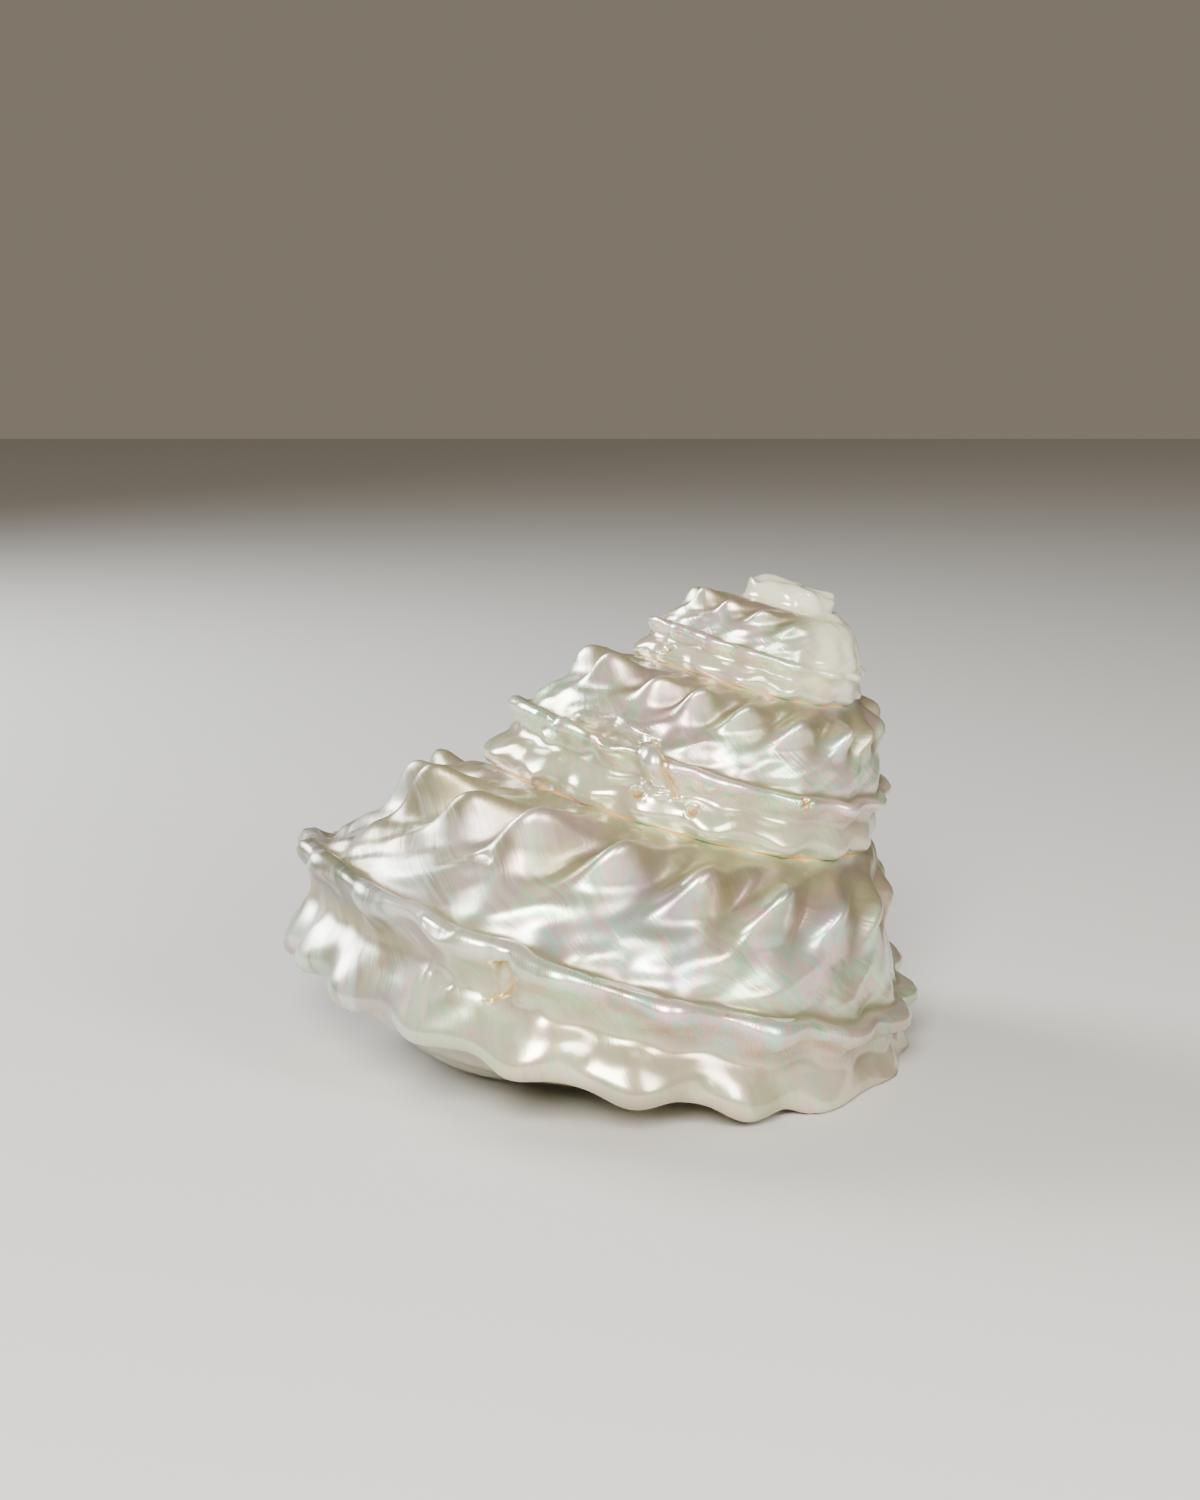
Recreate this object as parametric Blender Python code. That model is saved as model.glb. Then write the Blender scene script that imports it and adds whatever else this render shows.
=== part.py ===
# Wavy turban shell, polished down to its pearl and lying on its base.
# The shell is a tube that winds down a leaning axis and widens by the same factor each turn.
# A point of its skin has two coordinates. Growth is the angle, in radians, that the mouth had
# wound when it laid down that point. Row runs over one whorl: 0 on the suture above it, 1 on the
# suture below, and on from 1 to 2 over the base of the last whorl to the axis.
# Old mouth edges slant, so the point of a given growth and row lies at the winding angle
# growth - slant(row). Whorls then share their vertices along the suture.
# Metres, +Z up, origin under the middle of the shell on the surface that it rests on.

import math

import bmesh
import bpy
import numpy as np

NODE_NAME = "shell"
TURN = 2 * math.pi

# Grid of the skin before it is thinned to facets
STEPS_PER_TURN = 216
SLANT_STEPS = 34
WHORL_ROWS = 56
BASE_ROWS = 24
MOUTH_STEPS = 50
FACET_SHARE = 0.096

# Growth: log of the size gained in a radian, then radius and depth under the apex at angle 0
WIDENING = 0.088
UPPER_KEEL = (0.0461, 0.0691)
LOWER_KEEL = (0.0471, 0.0806)
SUTURE = (0.0461, 0.0839)

# Where the last whorl leaves the even spiral: winding angle in degrees, then shifts in metres
DRIFT_ANGLES = (-115, -57, 0, 57, 115, 172, 206, 240)
UPPER_KEEL_OUT = (0, 0.0010, -0.0025, 0.0002, 0.0016, -0.0026, -0.0052, -0.0060)
UPPER_KEEL_DOWN = (0, 0.0012, -0.0003, -0.0020, -0.0023, -0.0023, -0.0022, -0.0022)
LOWER_KEEL_OUT = (0, 0.0010, -0.0005, 0.0003, -0.0010, -0.0086, -0.0122, -0.0135)
LOWER_KEEL_DOWN = (0, 0.0056, -0.0025, -0.0026, -0.0005, -0.0020, -0.0025, -0.0025)

# Where the last whorl's shoulder is flatter: winding angle, reach in radians, share of its width
FLATTER_SIDES = ((-0.2, 0.7, 0.085), (3.05, 0.5, 0.060))

# Under the lower keel of the last whorl, where no later whorl covers it
OPEN_UNDERSIDE = (-2.0, -0.6)
UNDERSIDE_IN = 0.0045
UNDERSIDE_DOWN = 0.0016

# Slant of the old mouth edges: row, then radians that the edge lags behind the suture
SLANT_ROWS = (0, 1.0, 1.3, 1.6, 2.0)
SLANT_LAGS = (0, TURN * SLANT_STEPS / STEPS_PER_TURN, 1.10, 1.10, 0.95)

# Mouth edge and first whorl, as growth
LIP = 4.17
FIRST_GROWTH = -2 * TURN - 1.0
FIRST_WHORL_RISE = 2.4
RELIEF_DELAY = 0.7

# Worn cap over the oldest whorls: radius, then depth under the apex
CAP_OUTLINE = ((0.0073, 0.0173), (0.0065, 0.0159), (0.0041, 0.0151), (0, 0.0149))
CAP_RADIUS = 0.0073
CAP_LOPSIDE = 0.16
CAP_LEDGE = 0.25
CAP_LEDGE_RISE = 0.0005
CAP_ROWS = 12
CAP_LUMP = 0.00045
CAP_LUMP_WAVES = ((3, 0.6), (2, -1.57))
WORN_TOP = 0.0172
WORN_ROUNDING = 0.0010

# Folds: winding angle of each shoulder knob, in degrees, front of the two lower whorls
KNOBS_MIDDLE_WHORL = (-331, -312, -288, -267, -250, -233, -209, -186)
KNOBS_LAST_WHORL = (8, 31, 50, 69, 87, 104, 122, 140, 154, 171, 190, 209, 228, 250)
FIRST_KNOB = -820
KNOBS_FIRST_WHORL = 21
KNOBS_BEHIND = 9
KNOB_ROW = 0.235
FOLD_LEAD = 0.57
KNOB_REACH_ABOVE = 0.085
KNOB_REACH_BELOW = 0.080
KNOB_WIDTH_LEFT = 0.17
KNOB_WIDTH_RIGHT = 0.30
KNOB_HEIGHT = 0.0031
SMALL_KNOB_ROW = 0.43
SMALL_KNOB_REACH = 0.04
SMALL_KNOB_HEIGHT = 0.0006
FOLD_START = 0.07
FOLD_ROW = 0.27
FOLD_END = 0.47
VALLEY = 0.36
FOLD_ROUNDING = 0.22
FOLD_MEAN = 0.45
FOLD_HEIGHT = 0.0023
FOLD_VARIETY = (0.22, 2.3)
PLAIN_SIDE = (-11.3, -10.6)
SOFTER_SIDE = (0.25, 0.5, 0.5)
KEEL_ROW = 0.66
UPPER_WAVE = (0.0008, 0.0)
LOWER_WAVE = (0.0005, 0.0004)
SHALLOWER_AT_LIP = 0.55
SHALLOWER_FROM_TO = (2.3, 3.3)
SMOOTHER_AT_LIP = 0.60
SMOOTHER_FROM_TO = (1.9, 2.7)
UNDER_TURN = (0.62, 0.22)
CORD_ROWS = (0.66, 0.91)
CORD_REACH = 0.046
CORD_SWING = 0.006
CORD_HEIGHT = 0.0016
CORD_THINNING = 0.28

# Base and mouth
AXIS_END = 0.0960
BASE_SWELL = 0.0096
SWELL_LEAN = 0.85
SWELL_FULLNESS = 1.2
SWELL_DIP = (0.7, 1.0, 0.15)
BASE_BUMP = 0.0030
BUMP_SPOT = (2.1, 0.48)
BUMP_REACH = (0.5, 0.25)
THREADS = 6
THREAD_HEIGHT = 0.0004
THREAD_BAND = (0.4, 0.25)
AXIS_FILL = (0.60, 0.93)
LIP_FLARE = 0.0022
FLARE_GROWTH = 0.07
FLARE_REACH = 0.10
CHANNEL_ROW = 0.76
WALL = 0.0024
PILLAR_WALL = 0.0050
INNER_GLAZE = 0.0008
INNER_RELIEF = 0.4
MOUTH_DEPTH = 2.8
RING_CROWDING = 1.6
BEVEL_GROWTH = 0.035
END_CAP_FROM = 0.9
PILLAR_FROM = 1.7
GLAZE_TO = 1.4

# How it lies
LEAN = math.radians(24.3)
TWIST = 0.073
APEX_PLACE = (0.0397, 0.0068, 0.0903)
CUTTER_SIZE = 0.3

PEARL_COLOUR = (0.76, 0.70, 0.62, 1.0)
PEARL_ROUGHNESS = 0.25


def clear_scene():
    for item in list(bpy.data.objects):
        bpy.data.objects.remove(item, do_unlink=True)


def ramp(value, start, end):
    """Rise smoothly from 0 at start to 1 at end."""
    share = np.clip((value - start) / (end - start), 0, 1)
    return share * share * (3 - 2 * share)


def hump(value, centre, width):
    return np.exp(-((value - centre) / width) ** 2)


def spline(value, knots, heights):
    """Smooth curve through the heights at the knots, flat beyond both ends."""
    knots = np.asarray(knots, float)
    heights = np.asarray(heights, float)
    slopes = np.gradient(heights, knots)
    slopes[[0, -1]] = 0
    value = np.clip(value, knots[0], knots[-1])
    left = np.clip(np.searchsorted(knots, value, side="right") - 1, 0, len(knots) - 2)
    gap = knots[left + 1] - knots[left]
    u = (value - knots[left]) / gap
    rise = heights[left] * (1 + 2 * u) + slopes[left] * gap * u
    fall = heights[left + 1] * (3 - 2 * u) - slopes[left + 1] * gap * (1 - u)
    return rise * (1 - u) ** 2 + fall * u ** 2


def slant(row):
    return np.interp(row, SLANT_ROWS, SLANT_LAGS)


def size(angle):
    return np.exp(WIDENING * angle)


def drift(angle, shifts):
    return spline(np.degrees(angle), DRIFT_ANGLES, shifts)


def upper_keel(angle):
    out = UPPER_KEEL[0] * size(angle) + drift(angle, UPPER_KEEL_OUT)
    down = UPPER_KEEL[1] * size(angle) + drift(angle, UPPER_KEEL_DOWN)
    return out, down


def lower_keel(angle):
    out = LOWER_KEEL[0] * size(angle) + drift(angle, LOWER_KEEL_OUT)
    down = LOWER_KEEL[1] * size(angle) + drift(angle, LOWER_KEEL_DOWN)
    return out, down


def lower_edge(angle):
    """Line that the next whorl starts from, or the turn of the open underside."""
    keel_out, keel_down = lower_keel(angle)
    bare = ramp(angle, *OPEN_UNDERSIDE)
    out = SUTURE[0] * size(angle) * (1 - bare) + (keel_out - UNDERSIDE_IN) * bare
    down = SUTURE[1] * size(angle) * (1 - bare) + (keel_down + UNDERSIDE_DOWN) * bare
    return out, down


def shifted(point, shift, amount):
    return point[0] + shift[0] * amount, point[1] + shift[1] * amount


def beside(start, end, share, bulge):
    """Point part of the way from start to end, pushed out by a share of their distance."""
    run_out = end[0] - start[0]
    run_down = end[1] - start[1]
    out = start[0] + run_out * share + run_down * bulge
    down = start[1] + run_down * share - run_out * bulge
    return out, down


def whorl_controls(angle):
    """Rows and points that shape one whorl between its two sutures."""
    top = lower_edge(angle - TURN)
    foot = lower_edge(angle)
    smooth = 1 - SMOOTHER_AT_LIP * ramp(angle, *SMOOTHER_FROM_TO)
    wave = size(angle) * smooth * np.cos(TURN * fold_place(angle, KEEL_ROW))
    flat = sum(share * hump(angle, centre, reach) for centre, reach, share in FLATTER_SIDES)
    hollow = 1 - SHALLOWER_AT_LIP * ramp(angle, *SHALLOWER_FROM_TO)
    upper = shifted(upper_keel(angle), UPPER_WAVE, wave)
    lower = shifted(lower_keel(angle), LOWER_WAVE, wave)
    under = [keel * share + edge * (1 - share) for keel, edge, share in zip(lower, foot, UNDER_TURN)]
    return (
        (0.00, top),
        (0.07, beside(top, upper, 0.10, 0.046)),
        (0.20, beside(top, upper, 0.30, 0.080 - flat)),
        (0.36, beside(top, upper, 0.56, 0.056 - flat)),
        (0.50, beside(top, upper, 0.80, 0.008 - 0.4 * flat)),
        (0.59, beside(top, upper, 0.91, -0.036)),
        (0.66, upper),
        (0.72, beside(upper, lower, 0.25, -0.12 * hollow)),
        (0.79, beside(upper, lower, 0.48, -0.16 * hollow)),
        (0.86, beside(upper, lower, 0.74, -0.02 * hollow)),
        (0.91, lower),
        (0.96, under),
        (1.00, foot),
    )


def spline_weights(knots, rows, slope):
    """Share of each knot in a smooth curve at each row, or in its slope there."""
    shares = np.zeros((len(rows), len(knots)))
    step = 0.001
    for index in range(len(knots)):
        only = np.zeros(len(knots))
        only[index] = 1
        if slope:
            ahead = spline(rows + step, knots, only)
            shares[:, index] = (ahead - spline(rows - step, knots, only)) / (2 * step)
        else:
            shares[:, index] = spline(rows, knots, only)
    return shares


def knob_angles():
    first = np.linspace(FIRST_KNOB, KNOBS_MIDDLE_WHORL[0], KNOBS_FIRST_WHORL + 1)[:-1]
    behind = np.linspace(KNOBS_MIDDLE_WHORL[-1], KNOBS_LAST_WHORL[0], KNOBS_BEHIND + 2)[1:-1]
    return np.radians(np.concatenate([first, KNOBS_MIDDLE_WHORL, behind, KNOBS_LAST_WHORL]))


def fold_place(angle, row):
    """Place along the row of folds: a whole number on the crest of each fold."""
    knobs = knob_angles()
    lead = FOLD_LEAD * (np.clip(row, 0, KEEL_ROW) - KNOB_ROW)
    return np.interp(angle - lead, knobs, np.arange(len(knobs)))


def fold_crest(place):
    """1 on each crest, 0 in each valley: steep on the left of a crest, long on its right."""
    ahead = place - np.floor(place)
    fall = np.where(ahead < VALLEY, ahead / VALLEY, (1 - ahead) / (1 - VALLEY))
    rounded = np.hypot(fall, FOLD_ROUNDING) - FOLD_ROUNDING
    rounded = rounded / (math.hypot(1, FOLD_ROUNDING) - FOLD_ROUNDING)
    return 1 - 0.5 * (rounded + ramp(fall, 0, 1))


def relief(angle, row):
    """Height of the knobs, folds and keel cords over the smooth whorl."""
    place = fold_place(angle, row)
    off_crest = place - np.round(place)
    knob = hump(off_crest, 0, np.where(off_crest > 0, KNOB_WIDTH_LEFT, KNOB_WIDTH_RIGHT))
    reach = np.where(row < KNOB_ROW, KNOB_REACH_ABOVE, KNOB_REACH_BELOW)
    height = KNOB_HEIGHT * knob * hump(row, KNOB_ROW, reach)
    height = height + SMALL_KNOB_HEIGHT * knob * hump(row, SMALL_KNOB_ROW, SMALL_KNOB_REACH)
    fold = FOLD_HEIGHT * (fold_crest(place) - FOLD_MEAN) * (1 - ramp(row, FOLD_ROW, FOLD_END))
    height = height + fold * ramp(row, FOLD_START, KNOB_ROW)
    middle, reach, less = SOFTER_SIDE
    height = height * (1 - less * hump(angle, middle, reach))
    share, beat = FOLD_VARIETY
    height = height * (1 + share * np.cos(beat * place)) * ramp(angle, *PLAIN_SIDE)
    return (height + cord_relief(place, row)) * size(angle)


def cord_relief(place, row):
    """Height of the two keels' rounded cords, thicker and a little lower on each crest."""
    crest = np.cos(TURN * place)
    thickness = CORD_HEIGHT * (1 - CORD_THINNING * (1 - crest))
    return thickness * sum(hump(row, middle + CORD_SWING * crest, CORD_REACH) for middle in CORD_ROWS)


def whorl_skin(growth, rows, relief_share=1.0):
    """Radius, depth and winding angle of the whorl's skin, rows down and growth across."""
    angle = growth[None, :] - slant(rows)[:, None]
    knots, points = zip(*whorl_controls(angle))
    outs = np.stack([point[0] for point in points])
    downs = np.stack([point[1] for point in points])
    place = spline_weights(knots, rows, False)
    slope = spline_weights(knots, rows, True)
    out = np.einsum("rk,krg->rg", place, outs)
    down = np.einsum("rk,krg->rg", place, downs)
    slope_out = np.einsum("rk,krg->rg", slope, outs)
    slope_down = np.einsum("rk,krg->rg", slope, downs)
    length = np.hypot(slope_out, slope_down)
    height = relief(angle, rows[:, None]) * relief_share
    height = height * ramp(growth, FIRST_GROWTH + RELIEF_DELAY, FIRST_GROWTH + FIRST_WHORL_RISE)
    flare = LIP_FLARE * np.exp((growth - LIP) / FLARE_GROWTH)
    height = height + flare * hump(rows, CHANNEL_ROW, FLARE_REACH)[:, None]
    height[[0, -1]] = 0
    out = out + height * slope_down / length
    down = down - height * slope_out / length
    young = 1 - ramp(growth, FIRST_GROWTH, FIRST_GROWTH + FIRST_WHORL_RISE)
    straight = (rows[:, None] - rows[0]) / (rows[-1] - rows[0])
    out = out + young * (out[0] + (out[-1] - out[0]) * straight - out)
    down = down + young * (down[0] + (down[-1] - down[0]) * straight - down)
    under_top = down - WORN_TOP
    down = WORN_TOP + 0.5 * (under_top + np.hypot(under_top, WORN_ROUNDING))
    return out, down, angle


def base_skin(growth, rows, axis_end):
    """Underside from the lower keel to the axis, filled near the axis down to axis_end."""
    angle = growth - slant(rows)
    share = rows - 1
    edge_out, edge_down = lower_edge(angle)
    scale = size(growth - LIP)
    natural_end = AXIS_END * scale
    dip_angle, dip_reach, dip_share = SWELL_DIP
    swell = BASE_SWELL * scale * (1 - dip_share * hump(angle, dip_angle, dip_reach))
    swell = swell * np.sin(np.pi * share ** SWELL_LEAN) ** SWELL_FULLNESS
    bump = hump(angle, BUMP_SPOT[0], BUMP_REACH[0]) * hump(share, BUMP_SPOT[1], BUMP_REACH[1])
    threads = scale * np.cos(TURN * THREADS * share) * hump(share, *THREAD_BAND)
    swell = swell + BASE_BUMP * bump + THREAD_HEIGHT * threads
    fill = ramp(share, *AXIS_FILL)
    out = edge_out * (1 - share)
    down = edge_down + (natural_end - edge_down) * share + swell
    return out, down + fill * (axis_end - down), angle


def to_world(out, down, angle):
    """Points in the lying shell's frame from radius, depth and winding angle."""
    turn = -(angle + TWIST)
    across = out * np.cos(turn)
    back = out * np.sin(turn)
    x = across * math.cos(LEAN) - down * math.sin(LEAN)
    z = -across * math.sin(LEAN) - down * math.cos(LEAN)
    return np.stack([x, back, z], -1) + np.array(APEX_PLACE)


def row_values():
    whorl = np.linspace(0, 1, WHORL_ROWS + 1)
    base = np.linspace(1, 2, BASE_ROWS + 1)
    return whorl, base


def growth_values():
    step = TURN / STEPS_PER_TURN
    count = int(round((LIP - FIRST_GROWTH) / step))
    return LIP - step * np.arange(count, -1, -1)


def mouth_ring(depths):
    """Rings of the hollow: outer wall, then axis, then the whorl above, one ring a depth."""
    whorl_rows, base_rows = row_values()
    slant_growth = TURN * SLANT_STEPS / STEPS_PER_TURN
    outer_growth = LIP - depths
    inner_growth = LIP - TURN + slant_growth - depths
    inside = 1 - np.exp(-depths / BEVEL_GROWTH)
    outer = to_world(*whorl_skin(outer_growth, whorl_rows, 1 - (1 - INNER_RELIEF) * inside))
    axis_end = (AXIS_END * size(-depths))[None, :]
    under = to_world(*base_skin(outer_growth[None, :], base_rows[1:, None], axis_end))
    above = to_world(*base_skin(inner_growth[None, :], base_rows[-2:0:-1, None], axis_end))
    inner_rows = base_rows[-2:0:-1]
    wall = np.concatenate([
        np.full(len(outer), WALL),
        WALL + (PILLAR_WALL - WALL) * ramp(base_rows[1:], PILLAR_FROM, 2),
        WALL + (INNER_GLAZE - WALL) * ramp(inner_rows, 1, GLAZE_TO)
        + (PILLAR_WALL - INNER_GLAZE) * ramp(inner_rows, PILLAR_FROM, 2),
    ])
    wall = wall[:, None] * size(-depths)[None, :]
    ring = np.concatenate([outer, under, above])
    centre = ring.mean(axis=0)
    towards = centre - ring
    reach = np.linalg.norm(towards, axis=-1, keepdims=True)
    near_end = np.clip((depths / MOUTH_DEPTH - END_CAP_FROM) / (1 - END_CAP_FROM), 0, 1)
    closing = np.sqrt(1 - near_end ** 2)
    inset = wall * inside[None, :]
    inset = np.minimum(inset[..., None] / reach, 1)
    kept = (1 - inset) * closing[None, :, None]
    return centre + (ring - centre) * kept


def quads(first, second):
    """Faces between two neighbouring lines of vertex numbers."""
    return np.stack([first[:-1], first[1:], second[1:], second[:-1]], -1).reshape(-1, 4)


def shell_faces_and_points():
    """Vertices and faces of the closed skin: whorls, cap, base and hollow."""
    whorl_rows, base_rows = row_values()
    growth = growth_values()
    last = len(growth) - 1
    shift = STEPS_PER_TURN - SLANT_STEPS
    open_from = last - shift

    whorl = to_world(*whorl_skin(growth, whorl_rows[:-1]))
    whorl_ids = np.arange(whorl.shape[0] * whorl.shape[1]).reshape(whorl.shape[:2])
    points = [whorl.reshape(-1, 3)]
    count = whorl_ids.size

    full = to_world(*whorl_skin(growth[open_from + 1:], whorl_rows))[-1]
    foot_ids = np.empty(last + 1, int)
    foot_ids[:open_from + 1] = whorl_ids[0, shift:]
    foot_ids[open_from + 1:] = count + np.arange(len(full))
    points.append(full)
    count += len(full)

    bare = growth[open_from:][None, :]
    base = to_world(*base_skin(bare, base_rows[1:-1, None], AXIS_END))
    base_ids = count + np.arange(base.shape[0] * base.shape[1]).reshape(base.shape[:2])
    points.append(base.reshape(-1, 3))
    count += base_ids.size
    axis_id = count
    points.append(to_world(np.zeros(1), np.full(1, AXIS_END), np.zeros(1)))
    count += 1

    whorl_grid = np.vstack([whorl_ids, foot_ids[None, :]])
    axis_row = np.full((1, base_ids.shape[1]), axis_id)
    base_grid = np.vstack([foot_ids[None, open_from:], base_ids, axis_row])
    faces = [quads(a, b) for a, b in zip(whorl_grid[:-1], whorl_grid[1:])]
    faces += [quads(a, b) for a, b in zip(base_grid[:-1], base_grid[1:])]

    rim = np.concatenate([whorl_grid[:0:-1, 0], whorl_grid[0, :shift]])
    cap, cap_ids = cap_points(np.concatenate(points), rim, count)
    points.append(cap)
    count += len(cap)
    faces += ring_faces(np.vstack([rim[None, :], cap_ids]))

    mouth = np.concatenate([whorl_grid[:, -1], base_grid[1:, -1], base_grid[-2:0:-1, 0]])
    depths = MOUTH_DEPTH * np.linspace(0, 1, MOUTH_STEPS + 1)[1:] ** RING_CROWDING
    hollow = mouth_ring(depths)
    hollow_ids = count + np.arange(hollow.shape[0] * (MOUTH_STEPS - 1)).reshape(hollow.shape[0], -1)
    points.append(hollow[:, :-1].reshape(-1, 3))
    count += hollow_ids.size
    points.append(hollow[:1, -1])
    end = np.full((1, len(mouth)), count)
    faces += ring_faces(np.vstack([mouth[None, :], hollow_ids.T, end]))
    return np.concatenate(points), np.concatenate(faces)


def cap_points(points, rim, first_id):
    """Rings of the worn cap, from the rim of the first whorl up to its top."""
    place = points[rim] - np.array(APEX_PLACE)
    across = place[:, 0] * math.cos(LEAN) - place[:, 2] * math.sin(LEAN)
    down = -place[:, 0] * math.sin(LEAN) - place[:, 2] * math.cos(LEAN)
    out = np.hypot(across, place[:, 1])
    angle = -np.arctan2(place[:, 1], across) - TWIST
    rows = np.linspace(0, 1, CAP_ROWS + 1)
    knots = np.linspace(0, 1, len(CAP_OUTLINE) + 2)
    share = spline_weights(knots, rows, False)[1:]
    ledge_out = CAP_RADIUS + CAP_LEDGE * (out - CAP_RADIUS)
    ledge_down = down - CAP_LEDGE_RISE
    lopside = 1 - CAP_LOPSIDE * np.cos(angle)
    outs = np.vstack([out, ledge_out] + [spot[0] * lopside for spot in CAP_OUTLINE])
    lump = CAP_LUMP * sum(np.cos(count * angle + start) for count, start in CAP_LUMP_WAVES)
    downs = [spot[1] - lump * min(spot[0] / CAP_RADIUS, 1) for spot in CAP_OUTLINE]
    downs = np.vstack([down, ledge_down] + downs)
    rings = to_world(share @ outs, share @ downs, angle[None, :])
    ids = first_id + np.arange((CAP_ROWS - 1) * len(rim)).reshape(CAP_ROWS - 1, -1)
    top = np.full((1, len(rim)), first_id + ids.size)
    return np.concatenate([rings[:-1].reshape(-1, 3), rings[-1, :1]]), np.vstack([ids, top])


def ring_faces(grid):
    closed = np.hstack([grid, grid[:, :1]])
    return [quads(a, b) for a, b in zip(closed[:-1], closed[1:])]


def pearl_material():
    material = bpy.data.materials.new("pearl")
    material.use_nodes = True
    surface = material.node_tree.nodes["Principled BSDF"]
    surface.inputs["Base Color"].default_value = PEARL_COLOUR
    surface.inputs["Roughness"].default_value = PEARL_ROUGHNESS
    surface.inputs["Metallic"].default_value = 0.0
    return material


def without_repeats(face):
    """Corners of a face, with a corner that comes twice in a row kept once."""
    kept = [corner for place, corner in enumerate(face) if corner != face[place - 1]]
    return kept


def build_mesh():
    points, faces = shell_faces_and_points()
    mesh = bpy.data.meshes.new(NODE_NAME)
    mesh.from_pydata(points.tolist(), [], [without_repeats(face) for face in faces.tolist()])
    work = bmesh.new()
    work.from_mesh(mesh)
    bmesh.ops.recalc_face_normals(work, faces=work.faces)
    work.to_mesh(mesh)
    work.free()
    mesh.materials.append(pearl_material())
    mesh.shade_smooth()
    return mesh


def collection(name):
    group = bpy.data.collections.new(name)
    bpy.context.scene.collection.children.link(group)
    return group


def floor_cutter(group):
    """Block whose top is the surface the shell lies on: it grinds the resting spots flat."""
    bpy.ops.mesh.primitive_cube_add(size=CUTTER_SIZE, location=(0, 0, -CUTTER_SIZE / 2))
    cutter = bpy.context.active_object
    cutter.name = "floor_cut"
    cutter.hide_render = True
    cutter.display_type = "WIRE"
    for owner in list(cutter.users_collection):
        owner.objects.unlink(cutter)
    group.objects.link(cutter)
    return cutter


def build_shell():
    parts = collection("wavy_turban_shell")
    cutters = collection("cutters")
    shell = bpy.data.objects.new(NODE_NAME, build_mesh())
    parts.objects.link(shell)
    thin = shell.modifiers.new("facets", "DECIMATE")
    thin.decimate_type = "COLLAPSE"
    thin.ratio = FACET_SHARE
    flat = shell.modifiers.new("resting_spots", "BOOLEAN")
    flat.operation = "DIFFERENCE"
    flat.solver = "EXACT"
    flat.object = floor_cutter(cutters)
    return shell


clear_scene()
build_shell()
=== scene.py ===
# %% [markdown]
# # A wavy turban shell, polished down to its pearl
#
# The real object is one thing: a sea snail's shell, ground and polished until only the
# mother-of-pearl is left. We build it as one closed mesh worked out from formulas, give it a
# pearl material made of nodes, and light it like a small studio.
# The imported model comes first. It is the frame that everything has to fit, so we keep its box.

# %% Load the frame
import math

import bmesh
import bpy
import mathutils
import numpy as np
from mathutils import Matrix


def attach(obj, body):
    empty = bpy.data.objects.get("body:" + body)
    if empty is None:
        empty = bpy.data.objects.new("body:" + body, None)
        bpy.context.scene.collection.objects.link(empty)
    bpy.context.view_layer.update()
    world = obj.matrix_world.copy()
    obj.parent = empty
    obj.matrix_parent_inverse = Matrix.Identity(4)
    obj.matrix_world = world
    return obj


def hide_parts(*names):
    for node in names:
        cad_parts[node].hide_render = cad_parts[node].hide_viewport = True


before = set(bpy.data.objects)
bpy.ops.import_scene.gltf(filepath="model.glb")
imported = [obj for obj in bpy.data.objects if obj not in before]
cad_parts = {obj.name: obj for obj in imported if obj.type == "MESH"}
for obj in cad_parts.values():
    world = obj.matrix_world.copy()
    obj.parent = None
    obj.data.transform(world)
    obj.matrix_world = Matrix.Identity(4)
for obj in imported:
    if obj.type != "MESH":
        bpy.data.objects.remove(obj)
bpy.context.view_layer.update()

# %% [markdown]
# ## Three small curves
#
# Almost every form below is a sum of smooth bumps and smooth steps, so we write those once.
# They take whole arrays, which is what makes a mesh of a hundred thousand points quick to work
# out. A spline through a few chosen heights does the rest.

# %% Curves that take whole arrays
TURN = 2 * math.pi


def ramp(value, start, end):
    """A smooth step: 0 at start, 1 at end, with u * u * (3 - 2 * u) between them."""
    share = np.clip((value - start) / (end - start), 0, 1)
    return share * share * (3 - 2 * share)


def hump(value, centre, width):
    """A smooth bump, e to the power of minus ((value - centre) / width) squared."""
    return np.exp(-((value - centre) / width) ** 2)


def spline(value, knots, heights):
    """A smooth curve through the heights at the knots: cubic pieces that share their slopes."""
    knots = np.asarray(knots, float)
    heights = np.asarray(heights, float)
    slopes = np.gradient(heights, knots)
    slopes[[0, -1]] = 0
    value = np.clip(value, knots[0], knots[-1])
    left = np.clip(np.searchsorted(knots, value, side="right") - 1, 0, len(knots) - 2)
    gap = knots[left + 1] - knots[left]
    u = (value - knots[left]) / gap
    rise = heights[left] * (1 + 2 * u) + slopes[left] * gap * u
    fall = heights[left + 1] * (3 - 2 * u) - slopes[left + 1] * gap * (1 - u)
    return rise * (1 - u) ** 2 + fall * u ** 2


print("half way up a step:", float(ramp(0.5, 0, 1)))

# %% [markdown]
# ## How a shell grows
#
# A snail adds a little shell at its mouth every day, and the mouth gets bigger at a steady rate.
# The result is a spiral that widens by the same factor each turn, which is an exponential.
# We give every point of the skin two coordinates. *Growth* is how far the mouth had wound, in
# radians, when it laid that point down. *Row* runs down one whorl: 0 at the seam above it, 1 at
# the seam below it, and 1 to 2 over the base to the axis.
# The old mouth edges slant across the whorl, so a point lies at the winding angle growth minus
# slant(row). That also lets neighbouring whorls share their points along the seam.

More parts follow.
